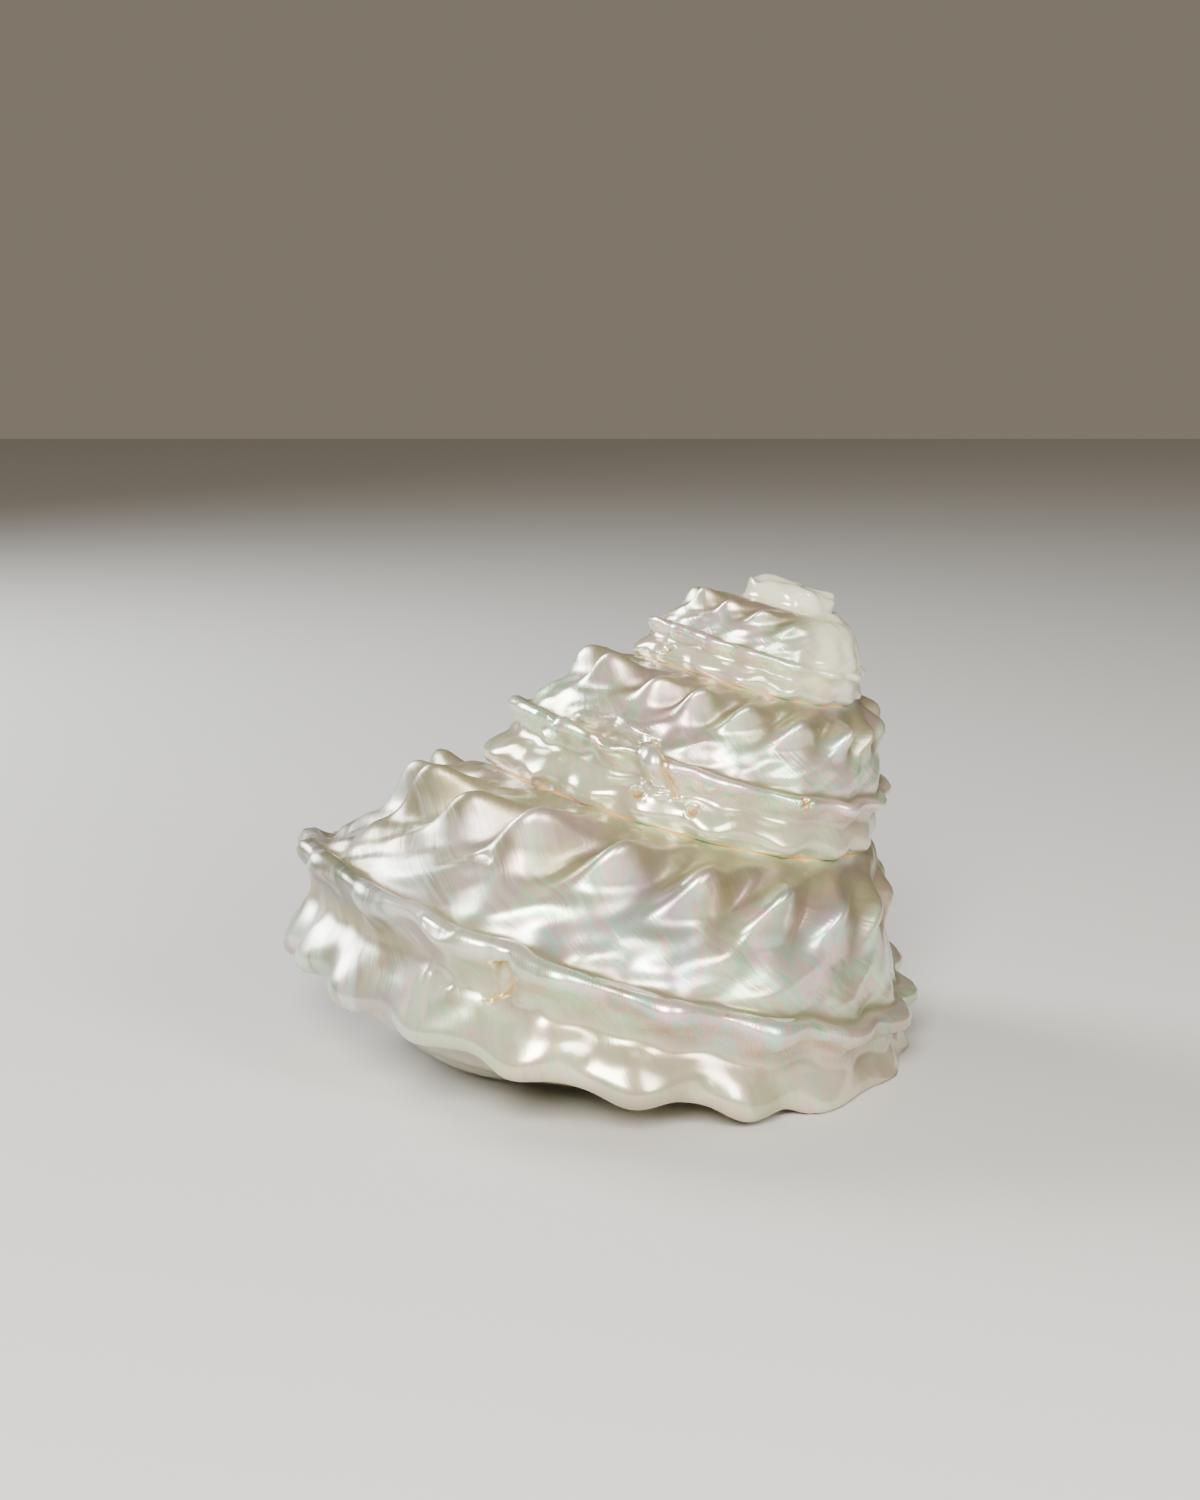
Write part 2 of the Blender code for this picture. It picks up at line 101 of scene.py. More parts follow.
# %% The growth of the shell
WIDENING = 0.088
SUTURE = (0.0461, 0.0839)
DRIFT_ANGLES = (-115, -57, 0, 57, 115, 172, 206, 240)
UPPER_KEEL = (
    (0.0461, (0, 0.0010, -0.0025, 0.0002, 0.0016, -0.0026, -0.0052, -0.0060)),
    (0.0691, (0, 0.0012, -0.0003, -0.0020, -0.0023, -0.0023, -0.0022, -0.0022)),
)
LOWER_KEEL = (
    (0.0471, (0, 0.0010, -0.0005, 0.0003, -0.0010, -0.0086, -0.0122, -0.0135)),
    (0.0806, (0, 0.0056, -0.0025, -0.0026, -0.0005, -0.0020, -0.0025, -0.0025)),
)
OPEN_UNDERSIDE = (-2.0, -0.6)
UNDERSIDE_IN = 0.0045
UNDERSIDE_DOWN = 0.0016
STEPS_PER_TURN = 324
SLANT_STEPS = 51
SEAM_SLANT = TURN * SLANT_STEPS / STEPS_PER_TURN
SLANT_ROWS = (0, 1.0, 1.3, 1.6, 2.0)
SLANT_LAGS = (0, SEAM_SLANT, 1.10, 1.10, 0.95)


def slant(row):
    """Radians that an old mouth edge lags at this row, straight between a few values."""
    return np.interp(row, SLANT_ROWS, SLANT_LAGS)


def size(angle):
    """How big the shell had grown: e to the power of the widening times the angle."""
    return np.exp(WIDENING * angle)


def keel_place(keel, angle):
    """Radius and depth of a keel: start * size(angle) + a spline of the last whorl's drift."""
    degrees = np.degrees(angle)
    return [start * size(angle) + spline(degrees, DRIFT_ANGLES, drift) for start, drift in keel]


def lower_edge(angle):
    """The seam: SUTURE * size. Where nothing covers it, the lower keel moved in and down."""
    keel_out, keel_down = keel_place(LOWER_KEEL, angle)
    bare = ramp(angle, *OPEN_UNDERSIDE)
    out = SUTURE[0] * size(angle) * (1 - bare) + (keel_out - UNDERSIDE_IN) * bare
    down = SUTURE[1] * size(angle) * (1 - bare) + (keel_down + UNDERSIDE_DOWN) * bare
    return out, down


print("one turn makes it", round(float(size(TURN)), 2), "times as big")

# %% [markdown]
# ## Folds and knobs
#
# Every whorl carries folds that lean down to the left, each with a pointed knob at the shoulder.
# They don't come at even steps on a real shell, so the knobs at the front have angles of their
# own. Between them a fold's place is read off as a number that is whole on each crest: that one
# number then shapes the knobs, the folds and the waves of both keels.

# %% Where the folds are
KNOBS_MIDDLE_WHORL = (-331, -312, -288, -267, -250, -233, -209, -186)
KNOBS_LAST_WHORL = (8, 31, 50, 69, 87, 104, 122, 140, 154, 171, 190, 209, 228, 250)
FIRST_KNOB = -820
KNOBS_FIRST_WHORL = 21
KNOBS_BEHIND = 9
KNOB_ROW = 0.235
KEEL_ROW = 0.66
FOLD_LEAD = 0.57


def knob_angles():
    """Winding angle of every knob: chosen at the front, evenly spread where it is hidden."""
    first = np.linspace(FIRST_KNOB, KNOBS_MIDDLE_WHORL[0], KNOBS_FIRST_WHORL + 1)[:-1]
    behind = np.linspace(KNOBS_MIDDLE_WHORL[-1], KNOBS_LAST_WHORL[0], KNOBS_BEHIND + 2)[1:-1]
    return np.radians(np.concatenate([first, KNOBS_MIDDLE_WHORL, behind, KNOBS_LAST_WHORL]))


def fold_place(angle, row):
    """Place along the row of folds, whole on each crest; folds lead by FOLD_LEAD a row."""
    knobs = knob_angles()
    lead = FOLD_LEAD * (np.clip(row, 0, KEEL_ROW) - KNOB_ROW)
    return np.interp(angle - lead, knobs, np.arange(len(knobs)))


print("knobs on the shell:", len(knob_angles()))

# %% [markdown]
# ## The outline of a whorl
#
# Cut across a whorl and you see a slope, a shoulder, a keel, a hollow channel and a second keel.
# We place thirteen points for that outline, as functions of the winding angle, and run a spline
# through them. Most are given as a share of the way between two growing lines, pushed out by a
# share of their distance, so the outline keeps its form while the whorl grows.

# %% The outline's points
UPPER_WAVE = (0.0008, 0.0)
LOWER_WAVE = (0.0005, 0.0004)
SHALLOWER_AT_LIP = 0.55
SHALLOWER_FROM_TO = (2.3, 3.3)
SMOOTHER_AT_LIP = 0.60
SMOOTHER_FROM_TO = (1.9, 2.7)
UNDER_TURN = (0.62, 0.22)
FLATTER_SIDES = ((-0.2, 0.7, 0.085), (3.05, 0.5, 0.060))


def shifted(point, shift, amount):
    """A point moved along shift by an amount."""
    return point[0] + shift[0] * amount, point[1] + shift[1] * amount


def beside(start, end, share, bulge):
    """A point part of the way from start to end, pushed out by a share of their distance."""
    run_out = end[0] - start[0]
    run_down = end[1] - start[1]
    out = start[0] + run_out * share + run_down * bulge
    down = start[1] + run_down * share - run_out * bulge
    return out, down


def whorl_controls(angle):
    """Rows and points of the outline between the seam above and the seam below."""
    top = lower_edge(angle - TURN)
    foot = lower_edge(angle)
    smooth = 1 - SMOOTHER_AT_LIP * ramp(angle, *SMOOTHER_FROM_TO)
    wave = size(angle) * smooth * np.cos(TURN * fold_place(angle, KEEL_ROW))
    flat = sum(share * hump(angle, centre, reach) for centre, reach, share in FLATTER_SIDES)
    hollow = 1 - SHALLOWER_AT_LIP * ramp(angle, *SHALLOWER_FROM_TO)
    upper = shifted(keel_place(UPPER_KEEL, angle), UPPER_WAVE, wave)
    lower = shifted(keel_place(LOWER_KEEL, angle), LOWER_WAVE, wave)
    under = [keel * share + edge * (1 - share) for keel, edge, share in zip(lower, foot, UNDER_TURN)]
    return (
        (0.00, top),
        (0.07, beside(top, upper, 0.10, 0.046)),
        (0.20, beside(top, upper, 0.30, 0.080 - flat)),
        (0.36, beside(top, upper, 0.56, 0.056 - flat)),
        (0.50, beside(top, upper, 0.80, 0.008 - 0.4 * flat)),
        (0.59, beside(top, upper, 0.91, -0.036)),
        (0.66, upper),
        (0.72, beside(upper, lower, 0.25, -0.12 * hollow)),
        (0.79, beside(upper, lower, 0.48, -0.16 * hollow)),
        (0.86, beside(upper, lower, 0.74, -0.02 * hollow)),
        (0.91, lower),
        (0.96, under),
        (1.00, foot),
    )


def spline_shares(knots, rows):
    """Share of each knot in the spline at each row: the spline of 1 there and 0 elsewhere."""
    return np.stack([spline(rows, knots, only) for only in np.eye(len(knots))], 1)


print("points in the outline:", len(whorl_controls(np.zeros(1))))

# %% [markdown]
# ## Relief
#
# The knobs, folds and keels stand up from that smooth outline. Each is a height along the
# surface's own normal, made by multiplying a shape across the folds by a shape down the rows.
# A knob rises gently from above and drops steeply below, because polishing has worn it so.

# %% Knobs, folds and keel cords
KNOB_REACH_ABOVE_BELOW = (0.085, 0.080)
KNOB_WIDTH_LEFT_RIGHT = (0.17, 0.30)
KNOB_HEIGHT = 0.0031
SMALL_KNOB_ROWS = (0.43, 0.04)
SMALL_KNOB_HEIGHT = 0.0008
FOLD_START = 0.07
FOLD_ROW = 0.27
FOLD_END = 0.47
VALLEY = 0.36
FOLD_ROUNDING = 0.22
FOLD_MEAN = 0.45
FOLD_HEIGHT = 0.0023
FOLD_VARIETY = (0.22, 2.3)
PLAIN_SIDE = (-11.3, -10.6)
SOFTER_SIDE = (0.25, 0.5, 0.5)
CORD_ROWS = (0.66, 0.91)
CORD_REACH = 0.046
CORD_SWING = 0.006
CORD_HEIGHT = 0.0016
CORD_THINNING = 0.28
UNEVEN_WAVES = (
    (2.7, 9.0, 0.4, 0.00022),
    (4.6, -21.0, 1.9, 0.00018),
    (7.9, 31.0, 3.1, 0.00012),
    (11.3, -44.0, 0.9, 0.00008),
)
UNEVEN_FROM = (0, 0.06)
UNEVEN_TO = (0.92, 0.99)


def fold_crest(place):
    """1 on a crest and 0 in a valley: steep at the left of a crest, long at its right."""
    ahead = place - np.floor(place)
    fall = np.where(ahead < VALLEY, ahead / VALLEY, (1 - ahead) / (1 - VALLEY))
    rounded = np.hypot(fall, FOLD_ROUNDING) - FOLD_ROUNDING
    rounded = rounded / (math.hypot(1, FOLD_ROUNDING) - FOLD_ROUNDING)
    return 1 - 0.5 * (rounded + ramp(fall, 0, 1))


def cord_relief(place, row):
    """A hump across each keel, a little thicker and lower on the crests of the folds."""
    crest = np.cos(TURN * place)
    thickness = CORD_HEIGHT * (1 - CORD_THINNING * (1 - crest))
    return thickness * sum(hump(row, middle + CORD_SWING * crest, CORD_REACH) for middle in CORD_ROWS)


def uneven(place, row):
    """Slow unevenness: a sum of slanting sine waves, faded out at both seams."""
    waves = 0
    for across, down, start, high in UNEVEN_WAVES:
        waves = waves + high * np.sin(across * place + down * row + start)
    return waves * ramp(row, *UNEVEN_FROM) * (1 - ramp(row, *UNEVEN_TO))


def relief(angle, row):
    """Height of knobs, folds and keel cords: sums of (shape across) * (shape down the rows)."""
    place = fold_place(angle, row)
    off_crest = place - np.round(place)
    knob = hump(off_crest, 0, np.where(off_crest > 0, *KNOB_WIDTH_LEFT_RIGHT))
    reach = np.where(row < KNOB_ROW, *KNOB_REACH_ABOVE_BELOW)
    height = KNOB_HEIGHT * knob * hump(row, KNOB_ROW, reach)
    height = height + SMALL_KNOB_HEIGHT * knob * hump(row, *SMALL_KNOB_ROWS)
    fold = FOLD_HEIGHT * (fold_crest(place) - FOLD_MEAN) * (1 - ramp(row, FOLD_ROW, FOLD_END))
    height = height + fold * ramp(row, FOLD_START, KNOB_ROW)
    middle, reach, less = SOFTER_SIDE
    height = height * (1 - less * hump(angle, middle, reach))
    share, beat = FOLD_VARIETY
    height = height * (1 + share * np.cos(beat * place)) * ramp(angle, *PLAIN_SIDE)
    return (height + cord_relief(place, row) + uneven(place, row)) * size(angle)


print("tallest knob on the last whorl, in mm:", round(float(relief(0.5, KNOB_ROW)) * 1000, 1))

# %% [markdown]
# ## The skin of the whorls
#
# Now the outline, the relief and the spiral meet in one grid: rows down, growth across. The
# spline is a weighted sum of the control points, so one matrix product gives all of it.
# The oldest whorl starts as a plain cone, and the mouth's edge flares a little.

# %% The whorls as one grid
LIP = 4.17
FIRST_GROWTH = -2 * TURN - 1.0
FIRST_WHORL_RISE = 2.4
RELIEF_DELAY = 0.7
LIP_FLARE = 0.0022
FLARE_GROWTH = 0.07
FLARE_REACH = 0.10
CHANNEL_ROW = 0.76
WORN_TOP = 0.0172
WORN_ROUNDING = 0.0010
ROW_STEP = 0.001


def whorl_skin(growth, rows, relief_share=1.0):
    """Radius, depth and angle of the skin: spline of the outline plus relief on its normal."""
    angle = growth[None, :] - slant(rows)[:, None]
    knots, points = zip(*whorl_controls(angle))
    controls = np.array(points)
    place = spline_shares(knots, rows)
    slope = spline_shares(knots, rows + ROW_STEP) - spline_shares(knots, rows - ROW_STEP)
    slope = slope / (2 * ROW_STEP)
    out, down = np.einsum("rk,kcrg->crg", place, controls)
    slope_out, slope_down = np.einsum("rk,kcrg->crg", slope, controls)
    length = np.hypot(slope_out, slope_down)
    height = relief(angle, rows[:, None]) * relief_share
    height = height * ramp(growth, FIRST_GROWTH + RELIEF_DELAY, FIRST_GROWTH + FIRST_WHORL_RISE)
    flare = LIP_FLARE * np.exp((growth - LIP) / FLARE_GROWTH)
    height = height + flare * hump(rows, CHANNEL_ROW, FLARE_REACH)[:, None]
    height[[0, -1]] = 0
    out = out + height * slope_down / length
    down = down - height * slope_out / length
    young = 1 - ramp(growth, FIRST_GROWTH, FIRST_GROWTH + FIRST_WHORL_RISE)
    straight = (rows[:, None] - rows[0]) / (rows[-1] - rows[0])
    out = out + young * (out[0] + (out[-1] - out[0]) * straight - out)
    down = down + young * (down[0] + (down[-1] - down[0]) * straight - down)
    under_top = down - WORN_TOP
    down = WORN_TOP + 0.5 * (under_top + np.hypot(under_top, WORN_ROUNDING))
    return out, down, angle


reach_now = whorl_skin(np.zeros(1), np.linspace(0, 1, 9))[0].max()
print("the last whorl reaches", round(float(reach_now) * 1000, 1), "mm from the axis at growth 0")

# %% [markdown]
# ## Base, axis and how the shell lies
#
# Under the lower keel the skin turns in and swells out a little before it reaches the axis,
# with a few low spiral threads. The whole shell leans on its side: the axis tips to the right.

# %% The base and the leaning frame
AXIS_END = 0.0960
BASE_SWELL = 0.0096
SWELL_LEAN = 0.85
SWELL_FULLNESS = 1.2
SWELL_DIP = (0.7, 1.0, 0.15)
BASE_BUMP = 0.0030
BUMP_ANGLES = (2.1, 0.5)
BUMP_BAND = (0.48, 0.25)
THREADS = 6
THREAD_HEIGHT = 0.0004
THREAD_BAND = (0.4, 0.25)
AXIS_FILL = (0.60, 0.93)
LEAN = math.radians(24.3)
TWIST = 0.073
APEX_PLACE = (0.0397, 0.0068, 0.0903)


def base_skin(growth, rows, axis_end):
    """Underside: a straight run from the keel to the axis, plus a sine swell, bump and threads."""
    angle = growth - slant(rows)
    share = rows - 1
    edge_out, edge_down = lower_edge(angle)
    scale = size(growth - LIP)
    natural_end = AXIS_END * scale
    dip_angle, dip_reach, dip_share = SWELL_DIP
    swell = BASE_SWELL * scale * (1 - dip_share * hump(angle, dip_angle, dip_reach))
    swell = swell * np.sin(np.pi * share ** SWELL_LEAN) ** SWELL_FULLNESS
    bump = hump(angle, *BUMP_ANGLES) * hump(share, *BUMP_BAND)
    threads = scale * np.cos(TURN * THREADS * share) * hump(share, *THREAD_BAND)
    swell = swell + BASE_BUMP * bump + THREAD_HEIGHT * threads
    fill = ramp(share, *AXIS_FILL)
    out = edge_out * (1 - share)
    down = edge_down + (natural_end - edge_down) * share + swell
    return out, down + fill * (axis_end - down), angle


def to_world(out, down, angle):
    """Points in metres: turn about the axis, tip the axis by LEAN, and stand at the apex."""
    turn = -(angle + TWIST)
    across = out * np.cos(turn)
    back = out * np.sin(turn)
    x = across * math.cos(LEAN) - down * math.sin(LEAN)
    z = -across * math.sin(LEAN) - down * math.cos(LEAN)
    return np.stack([x, back, z], -1) + np.array(APEX_PLACE)


AXIS_FOOT = to_world(np.zeros(1), np.full(1, AXIS_END), np.zeros(1))
print("the axis ends at:", AXIS_FOOT[0].round(4).tolist())

# %% [markdown]
# ## The hollow behind the mouth
#
# The snail lived in a tube that winds up to the apex. We model it back from the mouth for nearly
# half a turn: rings that copy the outer wall, the axis and the whorl above, each pulled towards
# the ring's middle by the thickness of the wall, and shrunk to a point at the far end.

# %% Rings of the hollow
WHORL_ROWS = 78
BASE_ROWS = 26
MOUTH_STEPS = 38
WALL = 0.0024
PILLAR_WALL = 0.0050
INNER_GLAZE = 0.0008
INNER_RELIEF = 0.4
MOUTH_DEPTH = 2.8
RING_CROWDING = 1.6
BEVEL_GROWTH = 0.035
END_CAP_FROM = 0.9
PILLAR_FROM = 1.7
GLAZE_TO = 1.4
WHORL_LINES = np.linspace(0, 1, WHORL_ROWS + 1)
BASE_LINES = np.linspace(1, 2, BASE_ROWS + 1)


def hollow_rings(depths):
    """One ring a depth: the skin there, moved inward by wall * (1 - exp(-depth / bevel))."""
    outer_growth = LIP - depths
    inner_growth = LIP - TURN + SEAM_SLANT - depths
    inside = 1 - np.exp(-depths / BEVEL_GROWTH)
    outer = to_world(*whorl_skin(outer_growth, WHORL_LINES, 1 - (1 - INNER_RELIEF) * inside))
    axis_end = (AXIS_END * size(-depths))[None, :]
    under = to_world(*base_skin(outer_growth[None, :], BASE_LINES[1:, None], axis_end))
    inner_rows = BASE_LINES[-2:0:-1]
    above = to_world(*base_skin(inner_growth[None, :], inner_rows[:, None], axis_end))
    wall = np.concatenate([
        np.full(len(outer), WALL),
        WALL + (PILLAR_WALL - WALL) * ramp(BASE_LINES[1:], PILLAR_FROM, 2),
        WALL + (INNER_GLAZE - WALL) * ramp(inner_rows, 1, GLAZE_TO)
        + (PILLAR_WALL - INNER_GLAZE) * ramp(inner_rows, PILLAR_FROM, 2),
    ])
    wall = wall[:, None] * size(-depths)[None, :]
    ring = np.concatenate([outer, under, above])
    centre = ring.mean(axis=0)
    reach = np.linalg.norm(centre - ring, axis=-1, keepdims=True)
    near_end = np.clip((depths / MOUTH_DEPTH - END_CAP_FROM) / (1 - END_CAP_FROM), 0, 1)
    closing = np.sqrt(1 - near_end ** 2)
    inset = np.minimum((wall * inside[None, :])[..., None] / reach, 1)
    return centre + (ring - centre) * (1 - inset) * closing[None, :, None]


print("points in one ring of the hollow:", len(hollow_rings(np.full(1, 0.1))))

# %% [markdown]
# ## The worn cap
#
# The oldest whorls at the tip are ground away. What is left is a low lump, a little lopsided and
# eroded, that fills the rim of the first whorl we can still follow.

# %% The cap's rings
CAP_OUTLINE = ((0.0073, 0.0173), (0.0069, 0.0158), (0.0049, 0.0150), (0, 0.0149))
CAP_RADIUS = 0.0073
CAP_LOPSIDE = 0.16
CAP_LEDGE = 0.25
CAP_LEDGE_RISE = 0.0005
CAP_ROWS = 16
CAP_TILTS = (0.0003, 0.0010, 0.0007, 0)
CAP_LUMP = 0.00025
CAP_LUMP_WAVES = ((3, 0.6), (2, -1.57))
CAP_EROSION = 0.00022
CAP_SIDE_EROSION = 0.4
EROSION_WAVES = ((2, 5.0, 0.3), (3, -6.0, 1.1), (5, 9.0, 2.0), (7, -14.0, 0.7))


def cap_rings(rim):
    """Rings from rim to top: a spline through the outline, tilted, less a sum of sine waves."""
    place = rim - np.array(APEX_PLACE)
    across = place[:, 0] * math.cos(LEAN) - place[:, 2] * math.sin(LEAN)
    down = -place[:, 0] * math.sin(LEAN) - place[:, 2] * math.cos(LEAN)
    out = np.hypot(across, place[:, 1])
    angle = -np.arctan2(place[:, 1], across) - TWIST
    knots = np.linspace(0, 1, len(CAP_OUTLINE) + 2)
    share = spline_shares(knots, np.linspace(0, 1, CAP_ROWS + 1))[1:]
    lopside = 1 - CAP_LOPSIDE * np.cos(angle)
    ledge = CAP_RADIUS + CAP_LEDGE * (out - CAP_RADIUS)
    outs = np.vstack([out, ledge] + [spot[0] * lopside for spot in CAP_OUTLINE])
    lump = CAP_LUMP * sum(np.cos(count * angle + start) for count, start in CAP_LUMP_WAVES)
    downs = [
        spot[1] - lump * min(spot[0] / CAP_RADIUS, 1) - tilt * np.cos(angle)
        for spot, tilt in zip(CAP_OUTLINE, CAP_TILTS)
    ]
    downs = np.vstack([down, down - CAP_LEDGE_RISE] + downs)
    rows = np.linspace(0, 1, CAP_ROWS + 1)[1:, None]
    rise = CAP_EROSION * np.sin(np.pi * rows) * sum(
        np.sin(around * angle + inward * rows + start) for around, inward, start in EROSION_WAVES
    )
    return to_world((share @ outs) + CAP_SIDE_EROSION * rise, (share @ downs) - rise, angle[None, :])


print("rings of the cap:", CAP_ROWS)

# %% [markdown]
# ## One closed mesh
#
# The grids are sewn together by number, not by distance. Point i of a whorl's last row is the
# same vertex as a point of the next whorl's first row, one turn less the slant further on. The
# cap, the base and the hollow hang on the open edges that are left, so the mesh is watertight.
# Growth and row are stored at the corners of the faces, not at the vertices: along the seam one
# vertex belongs to two whorls, and each whorl's faces need their own values there.

# %% Sew the grids together
BARE_CAP_ROW = 0.0
HOLLOW_ROW = 3.0


def cells(grid):
    """The four corner values of every cell of a grid, as rows of four."""
    return np.stack([grid[:-1, :-1], grid[:-1, 1:], grid[1:, 1:], grid[1:, :-1]], -1).reshape(-1, 4)


def closed(grid):
    """A grid of rings with its first column repeated after the last."""
    return np.hstack([grid, grid[:, :1]])


def skin_points_and_cells():
    """Vertices of the closed skin, and for every face its vertex numbers, growths and rows."""
    step = TURN / STEPS_PER_TURN
    growth = LIP - step * np.arange(int(round((LIP - FIRST_GROWTH) / step)), -1, -1)
    last = len(growth) - 1
    shift = STEPS_PER_TURN - SLANT_STEPS
    open_from = last - shift
    points, faces = [], []

    def add(new_points):
        """Store a block of points and give back the numbers that its vertices get."""
        first = sum(len(block) for block in points)
        points.append(new_points.reshape(-1, 3))
        return first + np.arange(points[-1].shape[0]).reshape(new_points.shape[:-1])

    def cover(ids, new_growth, new_rows):
        """Store the faces of one grid with the growth and row of their corners."""
        parts = (ids, np.broadcast_to(new_growth, ids.shape), np.broadcast_to(new_rows, ids.shape))
        faces.append(np.stack([cells(part).astype(float) for part in parts]))

    whorl = to_world(*whorl_skin(growth, WHORL_LINES))
    whorl_ids = add(whorl[:-1])
    foot = np.concatenate([whorl_ids[0, shift:], add(whorl[-1, open_from + 1:])])
    whorl_grid = np.vstack([whorl_ids, foot[None, :]])
    cover(whorl_grid, growth[None, :], WHORL_LINES[:, None])

    bare = growth[open_from:][None, :]
    base_ids = add(to_world(*base_skin(bare, BASE_LINES[1:-1, None], AXIS_END)))
    axis_id = add(AXIS_FOOT)
    base_grid = np.vstack([foot[None, open_from:], base_ids, np.tile(axis_id, (1, base_ids.shape[1]))])
    cover(base_grid, bare, BASE_LINES[:, None])

    rim = np.concatenate([whorl_grid[:0:-1, 0], whorl_grid[0, :shift]])
    rings = cap_rings(np.concatenate(points)[rim])
    cap_ids = add(rings[:-1])
    top_id = add(rings[-1, :1])
    cap_grid = closed(np.vstack([rim[None, :], cap_ids, np.tile(top_id, (1, len(rim)))]))
    cover(cap_grid, FIRST_GROWTH, BARE_CAP_ROW - np.linspace(0, 1, CAP_ROWS + 1)[:, None])

    mouth = np.concatenate([whorl_grid[:, -1], base_grid[1:, -1], base_grid[-2:0:-1, 0]])
    depths = MOUTH_DEPTH * np.linspace(0, 1, MOUTH_STEPS + 1) ** RING_CROWDING
    hollow = hollow_rings(depths[1:])
    hollow_ids = add(hollow[:, :-1])
    end_id = add(hollow[:1, -1])
    tube = closed(np.vstack([mouth[None, :], hollow_ids.T, np.tile(end_id, (1, len(mouth)))]))
    cover(tube, LIP - depths[:, None], HOLLOW_ROW)
    return np.concatenate(points), np.concatenate(faces, axis=1)


def build_skin():
    """The shell as one closed mesh, standing on its flat spots at z = 0."""
    points, (ids, growths, rows) = skin_points_and_cells()
    points[:, 2] = np.maximum(points[:, 2], 0)
    ids = ids.astype(int)
    kept = ids != np.roll(ids, 1, axis=1)
    mesh = bpy.data.meshes.new("pearl_shell")
    mesh.from_pydata(points.tolist(), [], [face[keep].tolist() for face, keep in zip(ids, kept)])
    for name, values in (("growth", growths), ("row", rows)):
        stored = mesh.attributes.new(name, "FLOAT", "CORNER")
        stored.data.foreach_set("value", values[kept].astype(np.float32))
    return mesh


skin = build_skin()
print("vertices:", len(skin.vertices), "faces:", len(skin.polygons))

# %% [markdown]
# ## Pits, scars and tracks
#
# Borers and barnacles had marked this shell before it was polished. Their holes, bowls and flaky
# scars are real dents, so they belong in the mesh, and so do the tracks and grooves that worms
# left. A mark has a kind, a winding angle, a row, a reach along and down, and a depth. A path of
# angles and rows has a width and a rise: above 0 for a raised track, and below 0 for a groove.
# A mark's profile is a function of q, the distance from its middle divided by its reach.

# %% The marks
MARKS = (
    ("bowl", -3.683, 0.67, 0.0030, 0.0026, 0.0010),
    ("pit", -3.69, 0.668, 0.0009, 0.0009, 0.0014),
    ("pit", -4.353, 0.85, 0.0010, 0.0010, 0.0013),
    ("pit", -4.643, 0.86, 0.0008, 0.0011, 0.0010),
    ("pit", -10.036, 0.86, 0.0010, 0.0009, 0.0010),
    ("pit", -5.173, 0.66, 0.0006, 0.0009, 0.0007),
    ("pit", 1.28, 0.64, 0.0005, 0.0005, 0.0004),
    ("scar", -4.12, 0.60, 0.0040, 0.0030, 0.0005),
    ("scar", -4.42, 0.80, 0.0026, 0.0016, 0.0004),
    ("scar", 2.13, 0.65, 0.0044, 0.0017, 0.0005),
    ("scar", 1.95, 0.61, 0.0034, 0.0013, 0.0005),
    ("scar", 1.91, 0.72, 0.0014, 0.0048, 0.0007),
    ("scar", 2.09, 0.79, 0.0028, 0.0030, 0.0005),
    ("scar", 2.21, 0.38, 0.0026, 0.0016, 0.0004),
    ("notch", -3.87, 0.955, 0.0016, 0.0012, 0.0009),
)
PATHS = (
    (((-3.85, 0.54), (-4.05, 0.47), (-4.22, 0.50), (-4.34, 0.64), (-4.45, 0.80)), 0.0020, 0.0013),
    (((2.24, 0.63), (2.10, 0.67), (1.98, 0.66)), 0.0022, 0.0006),
    (((1.96, 0.60), (1.86, 0.66), (1.84, 0.76)), 0.0018, 0.0006),
    (((-4.30, 0.52), (-4.43, 0.66), (-4.54, 0.82)), 0.0006, -0.0006),
    (((1.93, 0.68), (1.89, 0.72), (1.89, 0.77), (1.93, 0.80)), 0.0007, -0.0007),
    (((-5.14, 0.63), (-5.19, 0.65), (-5.20, 0.69)), 0.0004, -0.0004),
)
print("marks:", len(MARKS), "and paths:", len(PATHS))

# %% Distances and profiles
OUTLINE_SHARE = 1.4
RIM_HEIGHT = 0.12
PIT_RIM = (1.35, 0.3)
SCAR_RIM = (1.2, 0.2)
SCAR_STEP = (0.75, 1.1)


def path_distance(angle, row, path):
    """Shortest distance in metres to a path; a row is OUTLINE_SHARE times the radius long."""
    middle = path[len(path) // 2][0]
    radius = float(keel_place(UPPER_KEEL, np.array(middle))[0])
    spot = np.stack([angle * radius, row * radius * OUTLINE_SHARE], -1)
    corners = np.array(path) * (radius, radius * OUTLINE_SHARE)
    nearest = np.inf
    for start, end in zip(corners[:-1], corners[1:]):
        run = end - start
        share = np.clip(((spot - start) @ run) / (run @ run), 0, 1)
        gap = np.linalg.norm(spot - start - share[..., None] * run, axis=-1)
        nearest = np.minimum(nearest, gap)
    return nearest


def mark_distance(angle, row, mark):
    """q: the length of (along / reach along, down / reach down), from the middle of a mark."""
    _, middle, middle_row, along, down, _ = mark
    radius = keel_place(UPPER_KEEL, middle)[0]
    u = (angle - middle) * radius / along
    v = (row - middle_row) * radius * OUTLINE_SHARE / down
    return np.hypot(u, v)


def dent(q, kind):
    """Share of the depth: e^(-q^4) for a pit or bowl, a smooth step for a scar, less a rim."""
    if kind == "scar":
        return 1 - ramp(q, *SCAR_STEP) - RIM_HEIGHT * hump(q, *SCAR_RIM)
    return np.exp(-q ** 4) - RIM_HEIGHT * hump(q, *PIT_RIM)


print("share of the depth at a pit's middle:", round(float(dent(0.0, "pit")), 2))

